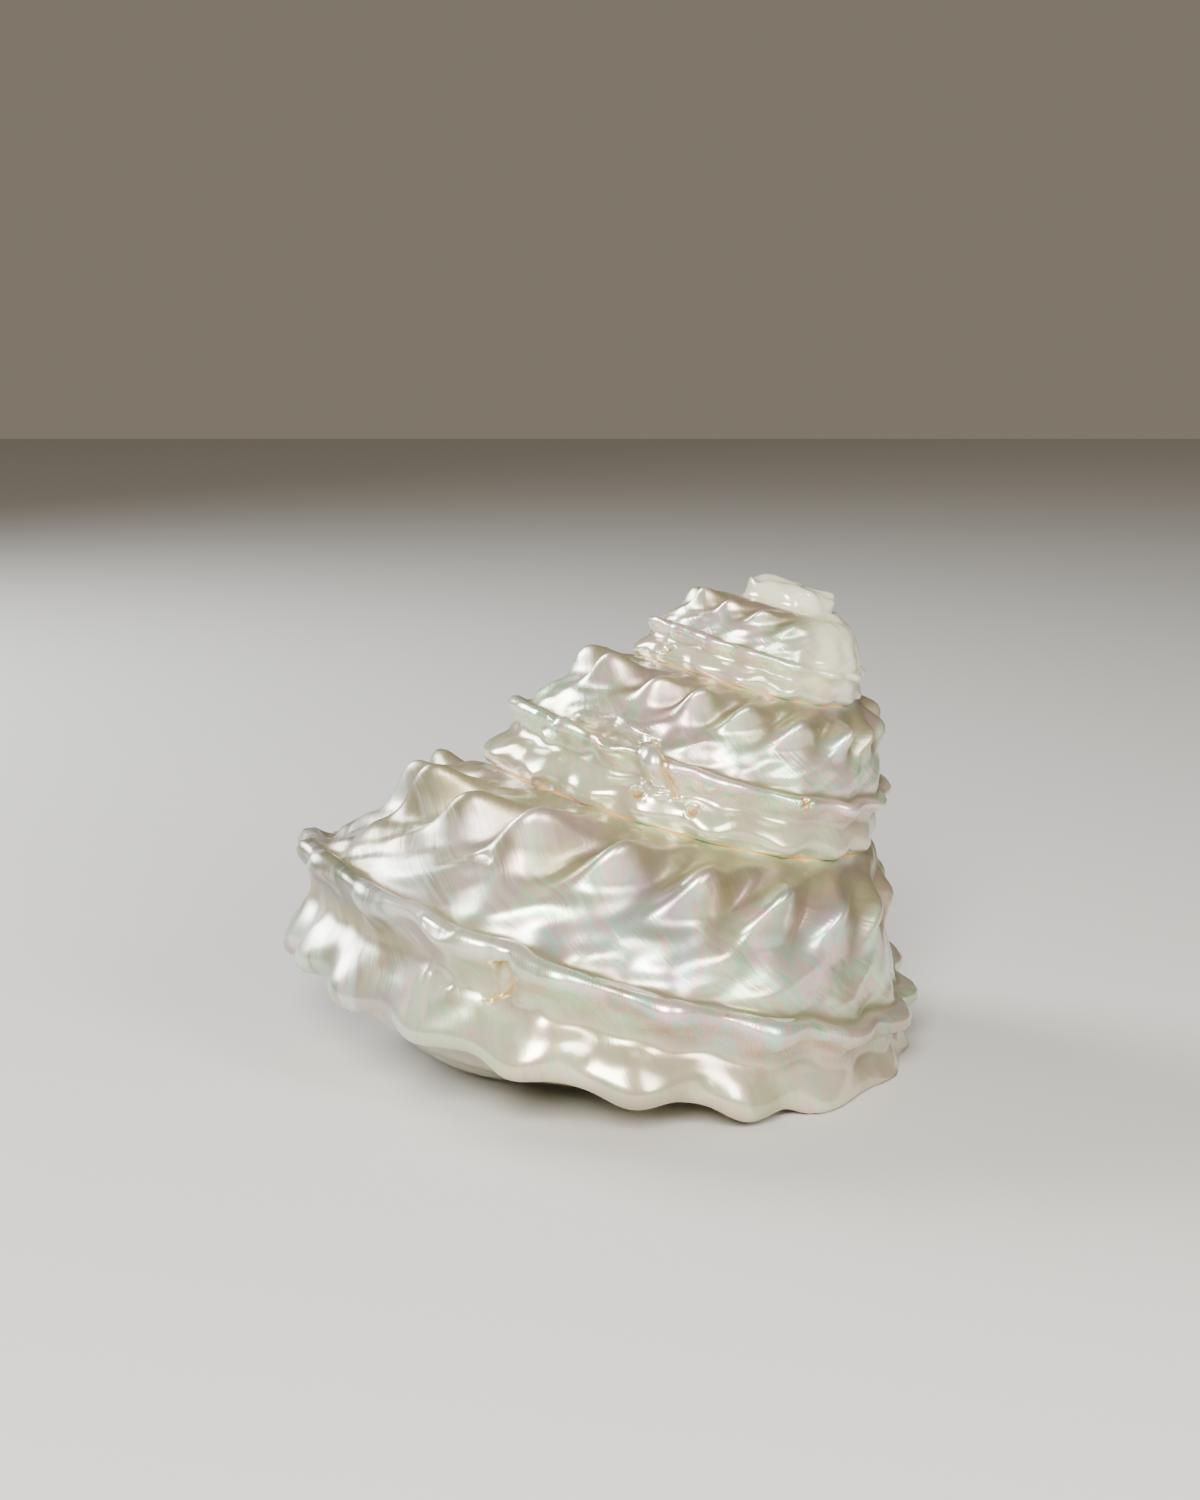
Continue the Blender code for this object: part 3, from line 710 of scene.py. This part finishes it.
# %% [markdown]
# ## Push the marks in
#
# The grid is too coarse for such small marks, so we cut the faces near each of them into nine,
# and leave the rest as it is. Then every vertex moves along its own normal: in by the depth of
# the marks and grooves that it lies in, and out by the height of the tracks.

# %% Cut the faces near the marks
MARK_EDGE = 1.5


def read(items, name, kind=np.float32, width=1):
    """One property of all items as an array, with width numbers an item."""
    values = np.empty(len(items) * width, kind)
    items.foreach_get(name, values)
    return values


def corner_values(mesh, name):
    """The values of a corner attribute as an array."""
    return read(mesh.attributes[name].data, "value").astype(float)


def refine_near_marks(mesh):
    """Cut the faces around each mark into nine, and turn all faces outward."""
    starts = read(mesh.polygons, "loop_start", int)
    growth = corner_values(mesh, "growth")[starts]
    row = corner_values(mesh, "row")[starts]
    angle = growth - slant(row)
    near = [mark_distance(angle, row, mark) < MARK_EDGE for mark in MARKS]
    near += [path_distance(angle, row, path) < MARK_EDGE * width for path, width, _ in PATHS]
    near = np.any(near, axis=0) & (row > 0) & (row < 1)
    work = bmesh.new()
    work.from_mesh(mesh)
    work.faces.ensure_lookup_table()
    edges = {edge for index in np.nonzero(near)[0] for edge in work.faces[index].edges}
    bmesh.ops.subdivide_edges(work, edges=list(edges), cuts=2, use_grid_fill=True)
    bmesh.ops.triangulate(work, faces=[face for face in work.faces if len(face.verts) > 4])
    bmesh.ops.recalc_face_normals(work, faces=work.faces)
    work.to_mesh(mesh)
    work.free()


refine_near_marks(skin)
print("faces after the cuts:", len(skin.polygons))

# %% Move the vertices
def vertex_coordinates(mesh):
    """Growth and row of each vertex, taken from the last corner that names it."""
    owners = read(mesh.loops, "vertex_index", int)
    growth = np.zeros(len(mesh.vertices))
    row = np.zeros(len(mesh.vertices))
    growth[owners] = corner_values(mesh, "growth")
    row[owners] = corner_values(mesh, "row")
    return growth, row


def carve(mesh):
    """Move each vertex in by the sum of depth * dent(q) less the sum of rise * hump."""
    growth, row = vertex_coordinates(mesh)
    angle = growth - slant(row)
    on_whorl = (row >= 0) & (row <= 1)
    depth = sum(mark[5] * dent(mark_distance(angle, row, mark), mark[0]) for mark in MARKS)
    for path, width, rise in PATHS:
        depth = depth - rise * hump(path_distance(angle, row, path), 0, width)
    normals = read(mesh.vertex_normals, "vector", width=3).reshape(-1, 3)
    points = read(mesh.vertices, "co", width=3).reshape(-1, 3)
    points = points - normals * (depth * on_whorl)[:, None]
    points[:, 2] = np.maximum(points[:, 2], 0)
    mesh.vertices.foreach_set("co", points.ravel())
    mesh.update()


carve(skin)
print("deepest mark in mm:", max(mark[5] for mark in MARKS) * 1000)

# %% [markdown]
# ## Zones of the surface
#
# The colours follow the form. A tan on the slopes that look up, in the fold valleys, in the trough
# above the keel and in the channel is painted shade. The channel and the lower keel are pale cream,
# grey patches on the left side are painted reflection, an orange band under the lower keel is
# painted shadow, and the worn top is milky. Each zone is a number from 0 to 1 worked out for all
# vertices at once and stored as an attribute that the material reads.

# %% Zone masks
# Rows and shares of the tan that is painted shade: up-facing slopes, fold valleys, the trough and the
# channel.
PAINTED_SHADE_SLOPE = (0.01, 0.06, 0.17, 0.29)
PAINTED_SHADE_VALLEY = (0.10, 0.18, 0.30, 0.46)
VALLEY_SHADE_SHARE = 0.9
PAINTED_SHADE_TROUGH = (0.580, 0.036)
PAINTED_SHADE_CHANNEL = (0.765, 0.045)
CHANNEL_SHADE_SHARE = 0.5
CHANNEL_SHADE_SHARE_LEFT = 0.4
PALE_FROM = (0.70, 0.80)
LESS_PALE_LEFT = 0.8
# Where the left side gets painted reflection in dark and pale grey patches.
REFLECTION_SIDE_FROM = (1.7, 2.5)
REFLECTION_FADE = (0.8, 0.95)
REFLECTION_LOSS = 0.5
MILKY_WHORL = (-11.7, -10.9)
MILKY_ROWS = (0.80, 0.97)
# Rows of an orange band under the lower keel: painted shadow where the shell meets the floor.
UNDER_KEEL_SHADOW_ROWS = (0.965, 1.0, 1.04, 1.12)
LIP_EDGE = 0.03
HOLLOW_FROM = 2.5


def band(value, first, second, third, fourth):
    """0 outside, 1 between second and third, smooth steps at both ends."""
    return ramp(value, first, second) * (1 - ramp(value, third, fourth))


def near_marks(angle, row, kind, spread=1.0):
    """The sum of a hump of q over the marks of one kind."""
    return sum(hump(mark_distance(angle, row, mark), 0, spread) for mark in MARKS if mark[0] == kind)


def near_paths(angle, row, sign, spread=1.0):
    """The sum of a hump of the distance in widths over the paths whose rise has this sign."""
    paths = [(path, width) for path, width, rise in PATHS if rise * sign > 0]
    return sum(hump(path_distance(angle, row, path), 0, spread * width) for path, width in paths)


def zone_masks(growth, row):
    """The share of each zone at every vertex, from its winding angle and row."""
    angle = growth - slant(row)
    on_whorl = ((row >= 0) & (row <= 1)).astype(float)
    valley = 1 - fold_crest(fold_place(angle, row))
    # Painted shade: tan on the slopes that look up, in the fold valleys, the trough and the channel,
    # more in the channel on the left.
    tan = band(row, *PAINTED_SHADE_SLOPE) + VALLEY_SHADE_SHARE * valley * band(row, *PAINTED_SHADE_VALLEY)
    # Painted reflection on the left side, faded towards the lower keel.
    painted_left_reflection = ramp(angle, *REFLECTION_SIDE_FROM) * on_whorl
    channel = CHANNEL_SHADE_SHARE + CHANNEL_SHADE_SHARE_LEFT * painted_left_reflection
    tan = tan + hump(row, *PAINTED_SHADE_TROUGH) + channel * hump(row, *PAINTED_SHADE_CHANNEL)
    milk = np.where(row < 0, 1.0, (1 - ramp(angle, *MILKY_WHORL)) * (1 - ramp(row, *MILKY_ROWS)))
    milk = np.where(row > 1, 0, milk)
    scars = near_marks(angle, row, "scar") + near_paths(angle, row, 1, spread=1.5)
    pale = ramp(row, *PALE_FROM) * (row < HOLLOW_FROM) * (1 - milk) * (1 - LESS_PALE_LEFT * painted_left_reflection)
    return {
        "tan": np.clip(tan, 0, 1) * on_whorl * (1 - milk),
        "pale": pale,
        "painted_left_reflection": painted_left_reflection * (1 - REFLECTION_LOSS * ramp(row, *REFLECTION_FADE)),
        "milk": milk,
        "pit": np.clip(near_marks(angle, row, "pit", spread=0.8), 0, 1) * on_whorl,
        "scar": np.clip(scars, 0, 1) * on_whorl,
        "groove": near_paths(angle, row, -1) * on_whorl,
        # The orange band under the lower keel is painted shadow; at the mouth's edge it is the edge's
        # colour.
        "edge": band(row, *UNDER_KEEL_SHADOW_ROWS) + (growth > LIP - LIP_EDGE) * (row < HOLLOW_FROM),
    }


def store_zones(mesh):
    """Write each zone's mask to an attribute of the mesh."""
    masks = zone_masks(*vertex_coordinates(mesh))
    for name, values in masks.items():
        values = np.clip(values, 0, 1).astype(np.float32)
        mesh.attributes.new(name, "FLOAT", "POINT").data.foreach_set("value", values)
    return {name: round(float(values.mean()), 3) for name, values in masks.items()}


print("mean of each mask:", store_zones(skin))

# %% [markdown]
# ## Nodes from a few words
#
# Materials here are graphs of nodes. A few helpers keep them short to read: they feed a node or
# add one, mix colours, stretch a value from one range to another, do arithmetic, and read an
# attribute or cloudy noise. The last three make a material or a group, and place a group.

# %% Helpers for node graphs
def feed(node, inputs):
    """Set each input to a number or a colour, or link the socket that feeds it."""
    for name, value in inputs.items():
        if isinstance(value, bpy.types.NodeSocket):
            node.id_data.links.new(value, node.inputs[name])
        else:
            node.inputs[name].default_value = value
    return node


def add_node(tree, kind, inputs=None, **settings):
    """A node of this kind, with its settings and inputs."""
    node = tree.nodes.new("ShaderNode" + kind)
    for name, value in settings.items():
        setattr(node, name, value)
    return feed(node, inputs or {})


def mix_colour(tree, share, first, second, blend="MIX"):
    """first where share is 0 and second where it is 1."""
    node = add_node(tree, "Mix", {0: share, 6: first, 7: second}, data_type="RGBA", blend_type=blend)
    return node.outputs[2]


def stretch(tree, value, low, high, to_low=0.0, to_high=1.0):
    """to_low + (to_high - to_low) * a smooth step of the value from low to high."""
    inputs = {"Value": value, "From Min": low, "From Max": high, "To Min": to_low, "To Max": to_high}
    return add_node(tree, "MapRange", inputs, interpolation_type="SMOOTHSTEP").outputs["Result"]


def calc(tree, operation, first, second=0.0):
    """One step of arithmetic on two values."""
    return add_node(tree, "Math", {0: first, 1: second}, operation=operation).outputs["Value"]


def scaled(tree, value, share):
    """value * share."""
    return calc(tree, "MULTIPLY", value, share)


def total(tree, start, values, shares):
    """start plus the sum of value * share, over the names in shares."""
    for name, share in shares.items():
        start = calc(tree, "ADD", start, scaled(tree, values[name], share))
    return start


def attribute(tree, name):
    """The value of a mesh attribute."""
    return add_node(tree, "Attribute", attribute_name=name).outputs["Fac"]


def clouds(tree, scale, detail=2.0, roughness=0.5, distortion=0.0):
    """Cloudy noise, mostly 0.3 to 0.7, with about scale clouds in a metre of the object."""
    settings = {"Scale": scale, "Detail": detail, "Roughness": roughness, "Distortion": distortion}
    settings["Vector"] = add_node(tree, "TexCoord").outputs["Object"]
    return add_node(tree, "TexNoise", settings).outputs["Fac"]


def new_group(name, outputs, inputs=()):
    """A shader node group with named sockets, and its input and output nodes."""
    tree = bpy.data.node_groups.new(name, "ShaderNodeTree")
    for socket_name, kind, start in inputs:
        socket = tree.interface.new_socket(socket_name, in_out="INPUT", socket_type=kind)
        socket.default_value = start
    for socket_name, kind in outputs:
        tree.interface.new_socket(socket_name, in_out="OUTPUT", socket_type=kind)
    return tree, tree.nodes.new("NodeGroupInput"), tree.nodes.new("NodeGroupOutput")


def place_group(tree, group, values):
    """The group as one node in a material, with its own values; gives its outputs."""
    return add_node(tree, "Group", values, node_tree=group).outputs


def new_material(name):
    """A new material, its node tree and its Principled BSDF."""
    material = bpy.data.materials.new(name)
    material.use_nodes = True
    return material, material.node_tree, material.node_tree.nodes["Principled BSDF"]


print("helpers are ready")

# %% [markdown]
# ## Growth lines
#
# Each day's strip of shell leaves a hair-thin line, and polishing shows them as silky streaks
# across the whorl. A noise read at (growth x many, row x few) is drawn out along the old mouth
# edge just like them. We use a fine one for the silk and a coarse one for slow wrinkles, put
# both in a group, and place that group in the outside's and the inside's material.

# %% Growth line group
LINES_LEAN = 0.9
LINES_LEAN_TO = 0.6
SWAY = 0.09
COARSENESS = 20.0
STREAK_SHARES = {"fine": 0.5, "coarse": 0.5}
STREAK_RANGE = (0.30, 0.70)
HEIGHT_SHARES = {"fine": 0.35, "coarse": 0.65}


def growth_line_group():
    """Noise at (leaning growth * lines across, row * lines down), a fine and a coarse one."""
    group, given, result = new_group(
        "growth_lines",
        [("Streaks", "NodeSocketFloat"), ("Height", "NodeSocketFloat")],
        [("Fineness", "NodeSocketFloat", 120.0)],
    )
    row = attribute(group, "row")
    lean = scaled(group, calc(group, "MINIMUM", row, LINES_LEAN_TO), LINES_LEAN)
    growth = calc(group, "ADD", attribute(group, "growth"), lean)
    swayed = calc(group, "ADD", growth, scaled(group, clouds(group, scale=110.0), SWAY))

    def streaks(across, down, detail):
        """Noise at (swayed growth * across, row * down)."""
        spot = {"X": scaled(group, swayed, across), "Y": scaled(group, row, down)}
        spot = add_node(group, "CombineXYZ", spot).outputs[0]
        inputs = {"Vector": spot, "Scale": 1.0, "Detail": detail, "Roughness": 0.6}
        return add_node(group, "TexNoise", inputs).outputs["Fac"]

    sets = {
        "fine": streaks(given.outputs["Fineness"], down=9.0, detail=3.0),
        "coarse": streaks(COARSENESS, down=5.0, detail=1.0),
    }
    both = stretch(group, total(group, 0.0, sets, STREAK_SHARES), *STREAK_RANGE)
    feed(result, {"Streaks": both, "Height": total(group, 0.0, sets, HEIGHT_SHARES)})
    return group


GROWTH_LINES = growth_line_group()
print("group:", GROWTH_LINES.name)

# %% [markdown]
# ## The colours of the pearl
#
# The plates of nacre are about as thick as a wave of light is long, so patches of slightly
# different thickness return pink, green or lavender. A colour ramp that runs through those
# colours, read with a cloudy noise that the growth lines tear into streaks, gives the same
# broken patches. A group again, since the inside shows them too.

# %% Pearl tint group
PEARL_STOPS = (
    (0.26, (0.62, 0.42, 0.44, 1)),
    (0.34, (0.84, 0.66, 0.56, 1)),
    (0.40, (0.82, 0.74, 0.54, 1)),
    (0.46, (0.52, 0.90, 0.60, 1)),
    (0.51, (0.88, 0.84, 0.68, 1)),
    (0.57, (0.98, 0.60, 0.64, 1)),
    (0.63, (0.52, 0.90, 0.68, 1)),
    (0.70, (0.70, 0.56, 0.68, 1)),
)


def pearl_tint_group():
    """A ramp of pearl colours read at cloudy noise + Tearing * (Streaks - 0.5)."""
    group, given, result = new_group(
        "pearl_tints",
        [("Color", "NodeSocketColor")],
        [("Streaks", "NodeSocketFloat", 0.5), ("Tearing", "NodeSocketFloat", 0.16)],
    )
    torn = calc(group, "SUBTRACT", given.outputs["Streaks"], 0.5)
    torn = scaled(group, torn, given.outputs["Tearing"])
    cloud = clouds(group, scale=48.0, detail=3.0, roughness=0.55, distortion=0.9)
    place = calc(group, "ADD", cloud, torn)
    ramp_node = add_node(group, "ValToRGB", {"Fac": place})
    stops = ramp_node.color_ramp.elements
    for position, _ in PEARL_STOPS[2:]:
        stops.new(position)
    for stop, (position, colour) in zip(stops, PEARL_STOPS):
        stop.position = position
        stop.color = colour
    feed(result, {"Color": ramp_node.outputs["Color"]})
    return group


PEARL_TINTS = pearl_tint_group()
print("group:", PEARL_TINTS.name, "with", len(PEARL_STOPS), "colours")

# %% [markdown]
# ## The colours of the outside
#
# The tints lie at the bottom, and each zone is laid over them as one more layer: cream in the
# channel, grey-green patches on the left that are painted reflection, tan that is painted shade on
# the slopes, valleys, trough and channel, milk at the top, and then the scars, the orange of the
# mouth's edge and of a band under the lower keel that is painted shadow, the golden line where two
# whorls meet, and the brown of the holes. The line needs no mesh: growth and row say where a seam
# is, and noise frays it. Broad tan blotches break up what would else look evenly painted.

# %% Layers of colour
# The tan and mauve below are painted shade on slopes, valleys, trough and channel, and also the colour
# of random blotches.
TAN_SHADE_AND_BLOTCH = (0.36, 0.31, 0.16, 1)
MAUVE_SHADE_AND_BLOTCH = (0.36, 0.25, 0.20, 1)
# Dark and pale grey of the painted reflection on the left side.
DARK_PAINTED_REFLECTION = (0.09, 0.08, 0.05, 1)
PALE_PAINTED_REFLECTION = (0.62, 0.60, 0.56, 1)
CREAM = (0.58, 0.52, 0.33, 1)
MILK = (0.76, 0.74, 0.56, 1)
MILK_YELLOW = (0.70, 0.60, 0.36, 1)
SCAR_WHITE = (0.76, 0.72, 0.58, 1)
SEAM_GOLD = (0.72, 0.44, 0.14, 1)
HOLE_BROWN = (0.36, 0.17, 0.04, 1)
# Orange of the mouth's edge, and painted shadow in the band under the lower keel.
LIP_AND_KEEL_SHADOW_ORANGE = (0.66, 0.44, 0.26, 1)
SHARES = {
    "pale": 0.60, "painted_left_reflection": 0.80, "tan": 0.88, "milk": 0.92, "scar": 0.60, "edge": 0.70, "groove": 0.75,
}
SEAM_WIDTH = 0.018
COVERED_TO = LIP - TURN + SEAM_SLANT
REFLECTION_STREAKS = 0.15
REFLECTION_RANGE = (0.49, 0.66)
MAUVE_RANGE = (0.52, 0.66)
YELLOW_RANGE = (0.50, 0.68)
BLOTCH_RANGE = (0.50, 0.62, 0.0, 0.50)
HOLE_RANGE = (0.25, 0.60)
STREAK_SHADE = (0.0, 1.0, 0.93, 1.0)


def seam_line(tree):
    """1 within about SEAM_WIDTH rows of a covered seam, frayed by noise, and 0 elsewhere."""
    row = attribute(tree, "row")
    width = scaled(tree, clouds(tree, scale=420.0), 2 * SEAM_WIDTH)
    gaps = [calc(tree, "ABSOLUTE", calc(tree, "SUBTRACT", row, seam)) for seam in (0.0, 1.0)]
    under, over = (calc(tree, "LESS_THAN", gap, width) for gap in gaps)
    covered = calc(tree, "LESS_THAN", attribute(tree, "growth"), COVERED_TO)
    return calc(tree, "MAXIMUM", under, scaled(tree, over, covered))


def nacre_colour(tree, tints, masks):
    """The tints under eight layers, each laid on by its mask times its share, times a shade."""
    laid = {name: scaled(tree, masks[name], share) for name, share in SHARES.items()}
    cloud = clouds(tree, scale=90.0)
    # Painted reflection: dark and pale patches on the left side, streaked along the growth lines.
    patches = calc(tree, "ADD", cloud, scaled(tree, masks["streaks"], REFLECTION_STREAKS))
    reflection_greys = mix_colour(tree, stretch(tree, patches, *REFLECTION_RANGE), DARK_PAINTED_REFLECTION, PALE_PAINTED_REFLECTION)
    shade_and_blotch_tans = mix_colour(tree, stretch(tree, cloud, *MAUVE_RANGE), TAN_SHADE_AND_BLOTCH, MAUVE_SHADE_AND_BLOTCH)
    milks = mix_colour(tree, stretch(tree, cloud, *YELLOW_RANGE), MILK, MILK_YELLOW)
    blotch = stretch(tree, clouds(tree, scale=62.0, detail=3.0, distortion=0.6), *BLOTCH_RANGE)
    layers = (
        (laid["pale"], CREAM),
        (laid["painted_left_reflection"], reflection_greys),
        # The tan layer: painted shade where its mask lays it, random tone in the blotches.
        (calc(tree, "MAXIMUM", laid["tan"], blotch), shade_and_blotch_tans),
        (laid["milk"], milks),
        (laid["scar"], SCAR_WHITE),
        # Orange: the mouth's edge, and painted shadow under the lower keel.
        (laid["edge"], LIP_AND_KEEL_SHADOW_ORANGE),
        (calc(tree, "MAXIMUM", masks["seam"], laid["groove"]), SEAM_GOLD),
        (stretch(tree, masks["pit"], *HOLE_RANGE), HOLE_BROWN),
    )
    colour = tints
    for share, layer in layers:
        colour = mix_colour(tree, share, colour, layer)
    shade = stretch(tree, masks["streaks"], *STREAK_SHADE)
    return mix_colour(tree, 1.0, colour, shade, "MULTIPLY")


print("seams are covered up to growth", round(COVERED_TO, 2))

# %% [markdown]
# ## The polish of the outside
#
# Nacre's silk is a soft metallic sheen; the polish over it is a clear coat. So the Principled
# BSDF gets a middling metallic value, a satin roughness and a coat, and the zones shift them:
# a little rougher on the tan slopes, smoother in the channel, hardly metallic and glassy where
# the top is milky. The brown in the holes and the golden line are dull.

# %% Nacre
ZONES = ("tan", "pale", "painted_left_reflection", "milk", "pit", "scar", "edge", "groove")
METAL = 0.74
METAL_SHIFTS = {"milk": -0.60, "pale": -0.22, "painted_left_reflection": -0.16}
ROUGH = 0.25
ROUGH_SHIFTS = {"tan": 0.08, "painted_left_reflection": 0.06, "pale": -0.08, "milk": -0.14, "streaks": 0.06, "dull": 0.3}
DULL_RANGE = (0.35, 0.75)
CALM_PALE = 0.6
COAT_WEIGHT = 0.30
COAT_ROUGHNESS = 0.12
LINE_DEPTH = 0.00035


def pearl_groups(tree, fineness, tearing):
    """The growth lines, and the tints that they tear."""
    lines = place_group(tree, GROWTH_LINES, {"Fineness": fineness})
    tints = place_group(tree, PEARL_TINTS, {"Tearing": tearing, "Streaks": lines["Streaks"]})
    return lines, tints["Color"]


def pearl_surface(surface, colour, metal, rough, height, strength):
    """Feed the shader its colour, metal and roughness, the height as a bump, and a clear coat."""
    bump = {"Height": height, "Strength": strength, "Distance": LINE_DEPTH}
    bump = add_node(surface.id_data, "Bump", bump).outputs["Normal"]
    feed(surface, {"Base Color": colour, "Metallic": metal, "Roughness": rough, "Normal": bump})
    feed(surface, {"Coat Weight": COAT_WEIGHT, "Coat Roughness": COAT_ROUGHNESS})


def nacre_material():
    """The polished outside: metal and roughness are a start plus the sum of mask * shift."""
    material, tree, surface = new_material("nacre")
    lines, tints = pearl_groups(tree, fineness=170.0, tearing=0.16)
    masks = {name: attribute(tree, name) for name in ZONES}
    masks["streaks"] = lines["Streaks"]
    masks["seam"] = seam_line(tree)
    masks["dull"] = calc(tree, "MAXIMUM", masks["seam"], stretch(tree, masks["pit"], *DULL_RANGE))
    colour = nacre_colour(tree, tints, masks)
    metal = calc(tree, "MAXIMUM", total(tree, METAL, masks, METAL_SHIFTS), 0.0)
    metal = scaled(tree, metal, calc(tree, "SUBTRACT", 1.0, masks["dull"]))
    rough = total(tree, ROUGH, masks, ROUGH_SHIFTS)
    calm = calc(tree, "MAXIMUM", masks["milk"], scaled(tree, masks["pale"], CALM_PALE))
    height = scaled(tree, lines["Height"], calc(tree, "SUBTRACT", 1.0, calm))
    pearl_surface(surface, colour, metal, rough, height, strength=0.26)
    return material


NACRE = nacre_material()
print("material:", NACRE.name, "with", len(NACRE.node_tree.nodes), "nodes")

# %% [markdown]
# ## The inside
#
# The wall of the hollow was never ground, and it is the smoothest pearl of all: silver with the
# same tints. Faces of the hollow are the ones whose row is 3, so they take the second material.

# %% Inside nacre, and the finished shell
INSIDE_SILVER = (0.80, 0.80, 0.78, 1)
INSIDE_SHARE = 0.35
INSIDE_ROUGH = (0.0, 1.0, 0.20, 0.30)
INSIDE_METAL = 0.55


def inside_material():
    """Smooth silvery pearl: the tints pulled towards silver, faint growth lines."""
    material, tree, surface = new_material("inside_nacre")
    lines, tints = pearl_groups(tree, fineness=60.0, tearing=0.05)
    colour = mix_colour(tree, INSIDE_SHARE, tints, INSIDE_SILVER)
    rough = stretch(tree, lines["Streaks"], *INSIDE_ROUGH)
    pearl_surface(surface, colour, INSIDE_METAL, rough, lines["Height"], strength=0.2)
    return material


def finish_shell(mesh):
    """The object at the origin with its two materials: the outside, and the hollow's faces."""
    mesh.materials.append(NACRE)
    mesh.materials.append(inside_material())
    starts = read(mesh.polygons, "loop_start", int)
    inside = corner_values(mesh, "row")[starts] > HOLLOW_FROM
    mesh.polygons.foreach_set("material_index", inside.astype(int))
    mesh.shade_smooth()
    piece = bpy.data.objects.new("pearl_shell", mesh)
    bpy.context.scene.collection.objects.link(piece)
    return piece


shell = finish_shell(skin)
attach(shell, "root")
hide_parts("shell")
print("triangles:", sum(len(face.vertices) - 2 for face in shell.data.polygons))

# %% [markdown]
# ## Floor, lights and camera
#
# Pearl shows its surroundings, so the lights are the second half of the finish. A soft light in
# front gives the knobs their highlights, a weaker one fills in from the right, and a cooler one
# at the back left gives the silvery edge. A warm dim world tints all that they don't reach.
# The floor lies a hair below the shell's flat spots, so that no two faces share one plane.

# %% Floor
FLOOR_GREY = (0.58, 0.57, 0.55, 1)
FLOOR_DROP = 0.0002
bpy.ops.mesh.primitive_plane_add(size=4, location=(0, 0, -FLOOR_DROP))
floor = bpy.context.active_object
floor.name = "floor"
floor_paint, _, floor_surface = new_material("pale_grey")
feed(floor_surface, {"Base Color": FLOOR_GREY, "Roughness": 0.8})
floor.data.materials.append(floor_paint)
print("floor:", floor.name)

# %% Lights
LIGHT_AIM = (0, 0, 0.035)
LIGHTS = (
    ("back_left_light", (-0.62, 0.38, 0.42), (0.40, 0.34), 12.0, (0.95, 0.98, 1.0)),
    ("front_light", (-0.08, -0.62, 0.40), (0.22, 0.28), 10.0, (1.0, 0.98, 0.93)),
    ("right_light", (0.42, -0.52, 0.34), (0.20, 0.26), 4.0, (1.0, 0.97, 0.92)),
)
WORLD_COLOUR = (0.80, 0.70, 0.54, 1)

for name, place, sides, power, colour in LIGHTS:
    lamp = bpy.data.lights.new(name, "AREA")
    lamp.shape = "RECTANGLE"
    lamp.size, lamp.size_y = sides
    lamp.energy = power
    lamp.color = colour
    holder = bpy.data.objects.new(name, lamp)
    holder.location = place
    aim = mathutils.Vector(LIGHT_AIM) - mathutils.Vector(place)
    holder.rotation_euler = aim.to_track_quat("-Z", "Y").to_euler()
    bpy.context.scene.collection.objects.link(holder)

world = bpy.data.worlds.new("warm_dim")
bpy.context.scene.world = world
world.use_nodes = True
feed(world.node_tree.nodes["Background"], {"Color": WORLD_COLOUR, "Strength": 0.27})
print("lights:", len(LIGHTS))

# %% Camera
PITCH = math.radians(80)
CAMERA_REACH = mathutils.Vector((0.039571, 0.040319, -0.410))
camera_data = bpy.data.cameras.new("camera")
camera_data.lens = 50
camera_data.sensor_width = 30
camera = bpy.data.objects.new("camera", camera_data)
camera.rotation_euler = (PITCH, 0, 0)
camera.location = mathutils.Vector(APEX_PLACE) - camera.rotation_euler.to_matrix() @ CAMERA_REACH
bpy.context.scene.collection.objects.link(camera)
bpy.context.scene.camera = camera
print("the camera is at", [round(value, 3) for value in camera.location])
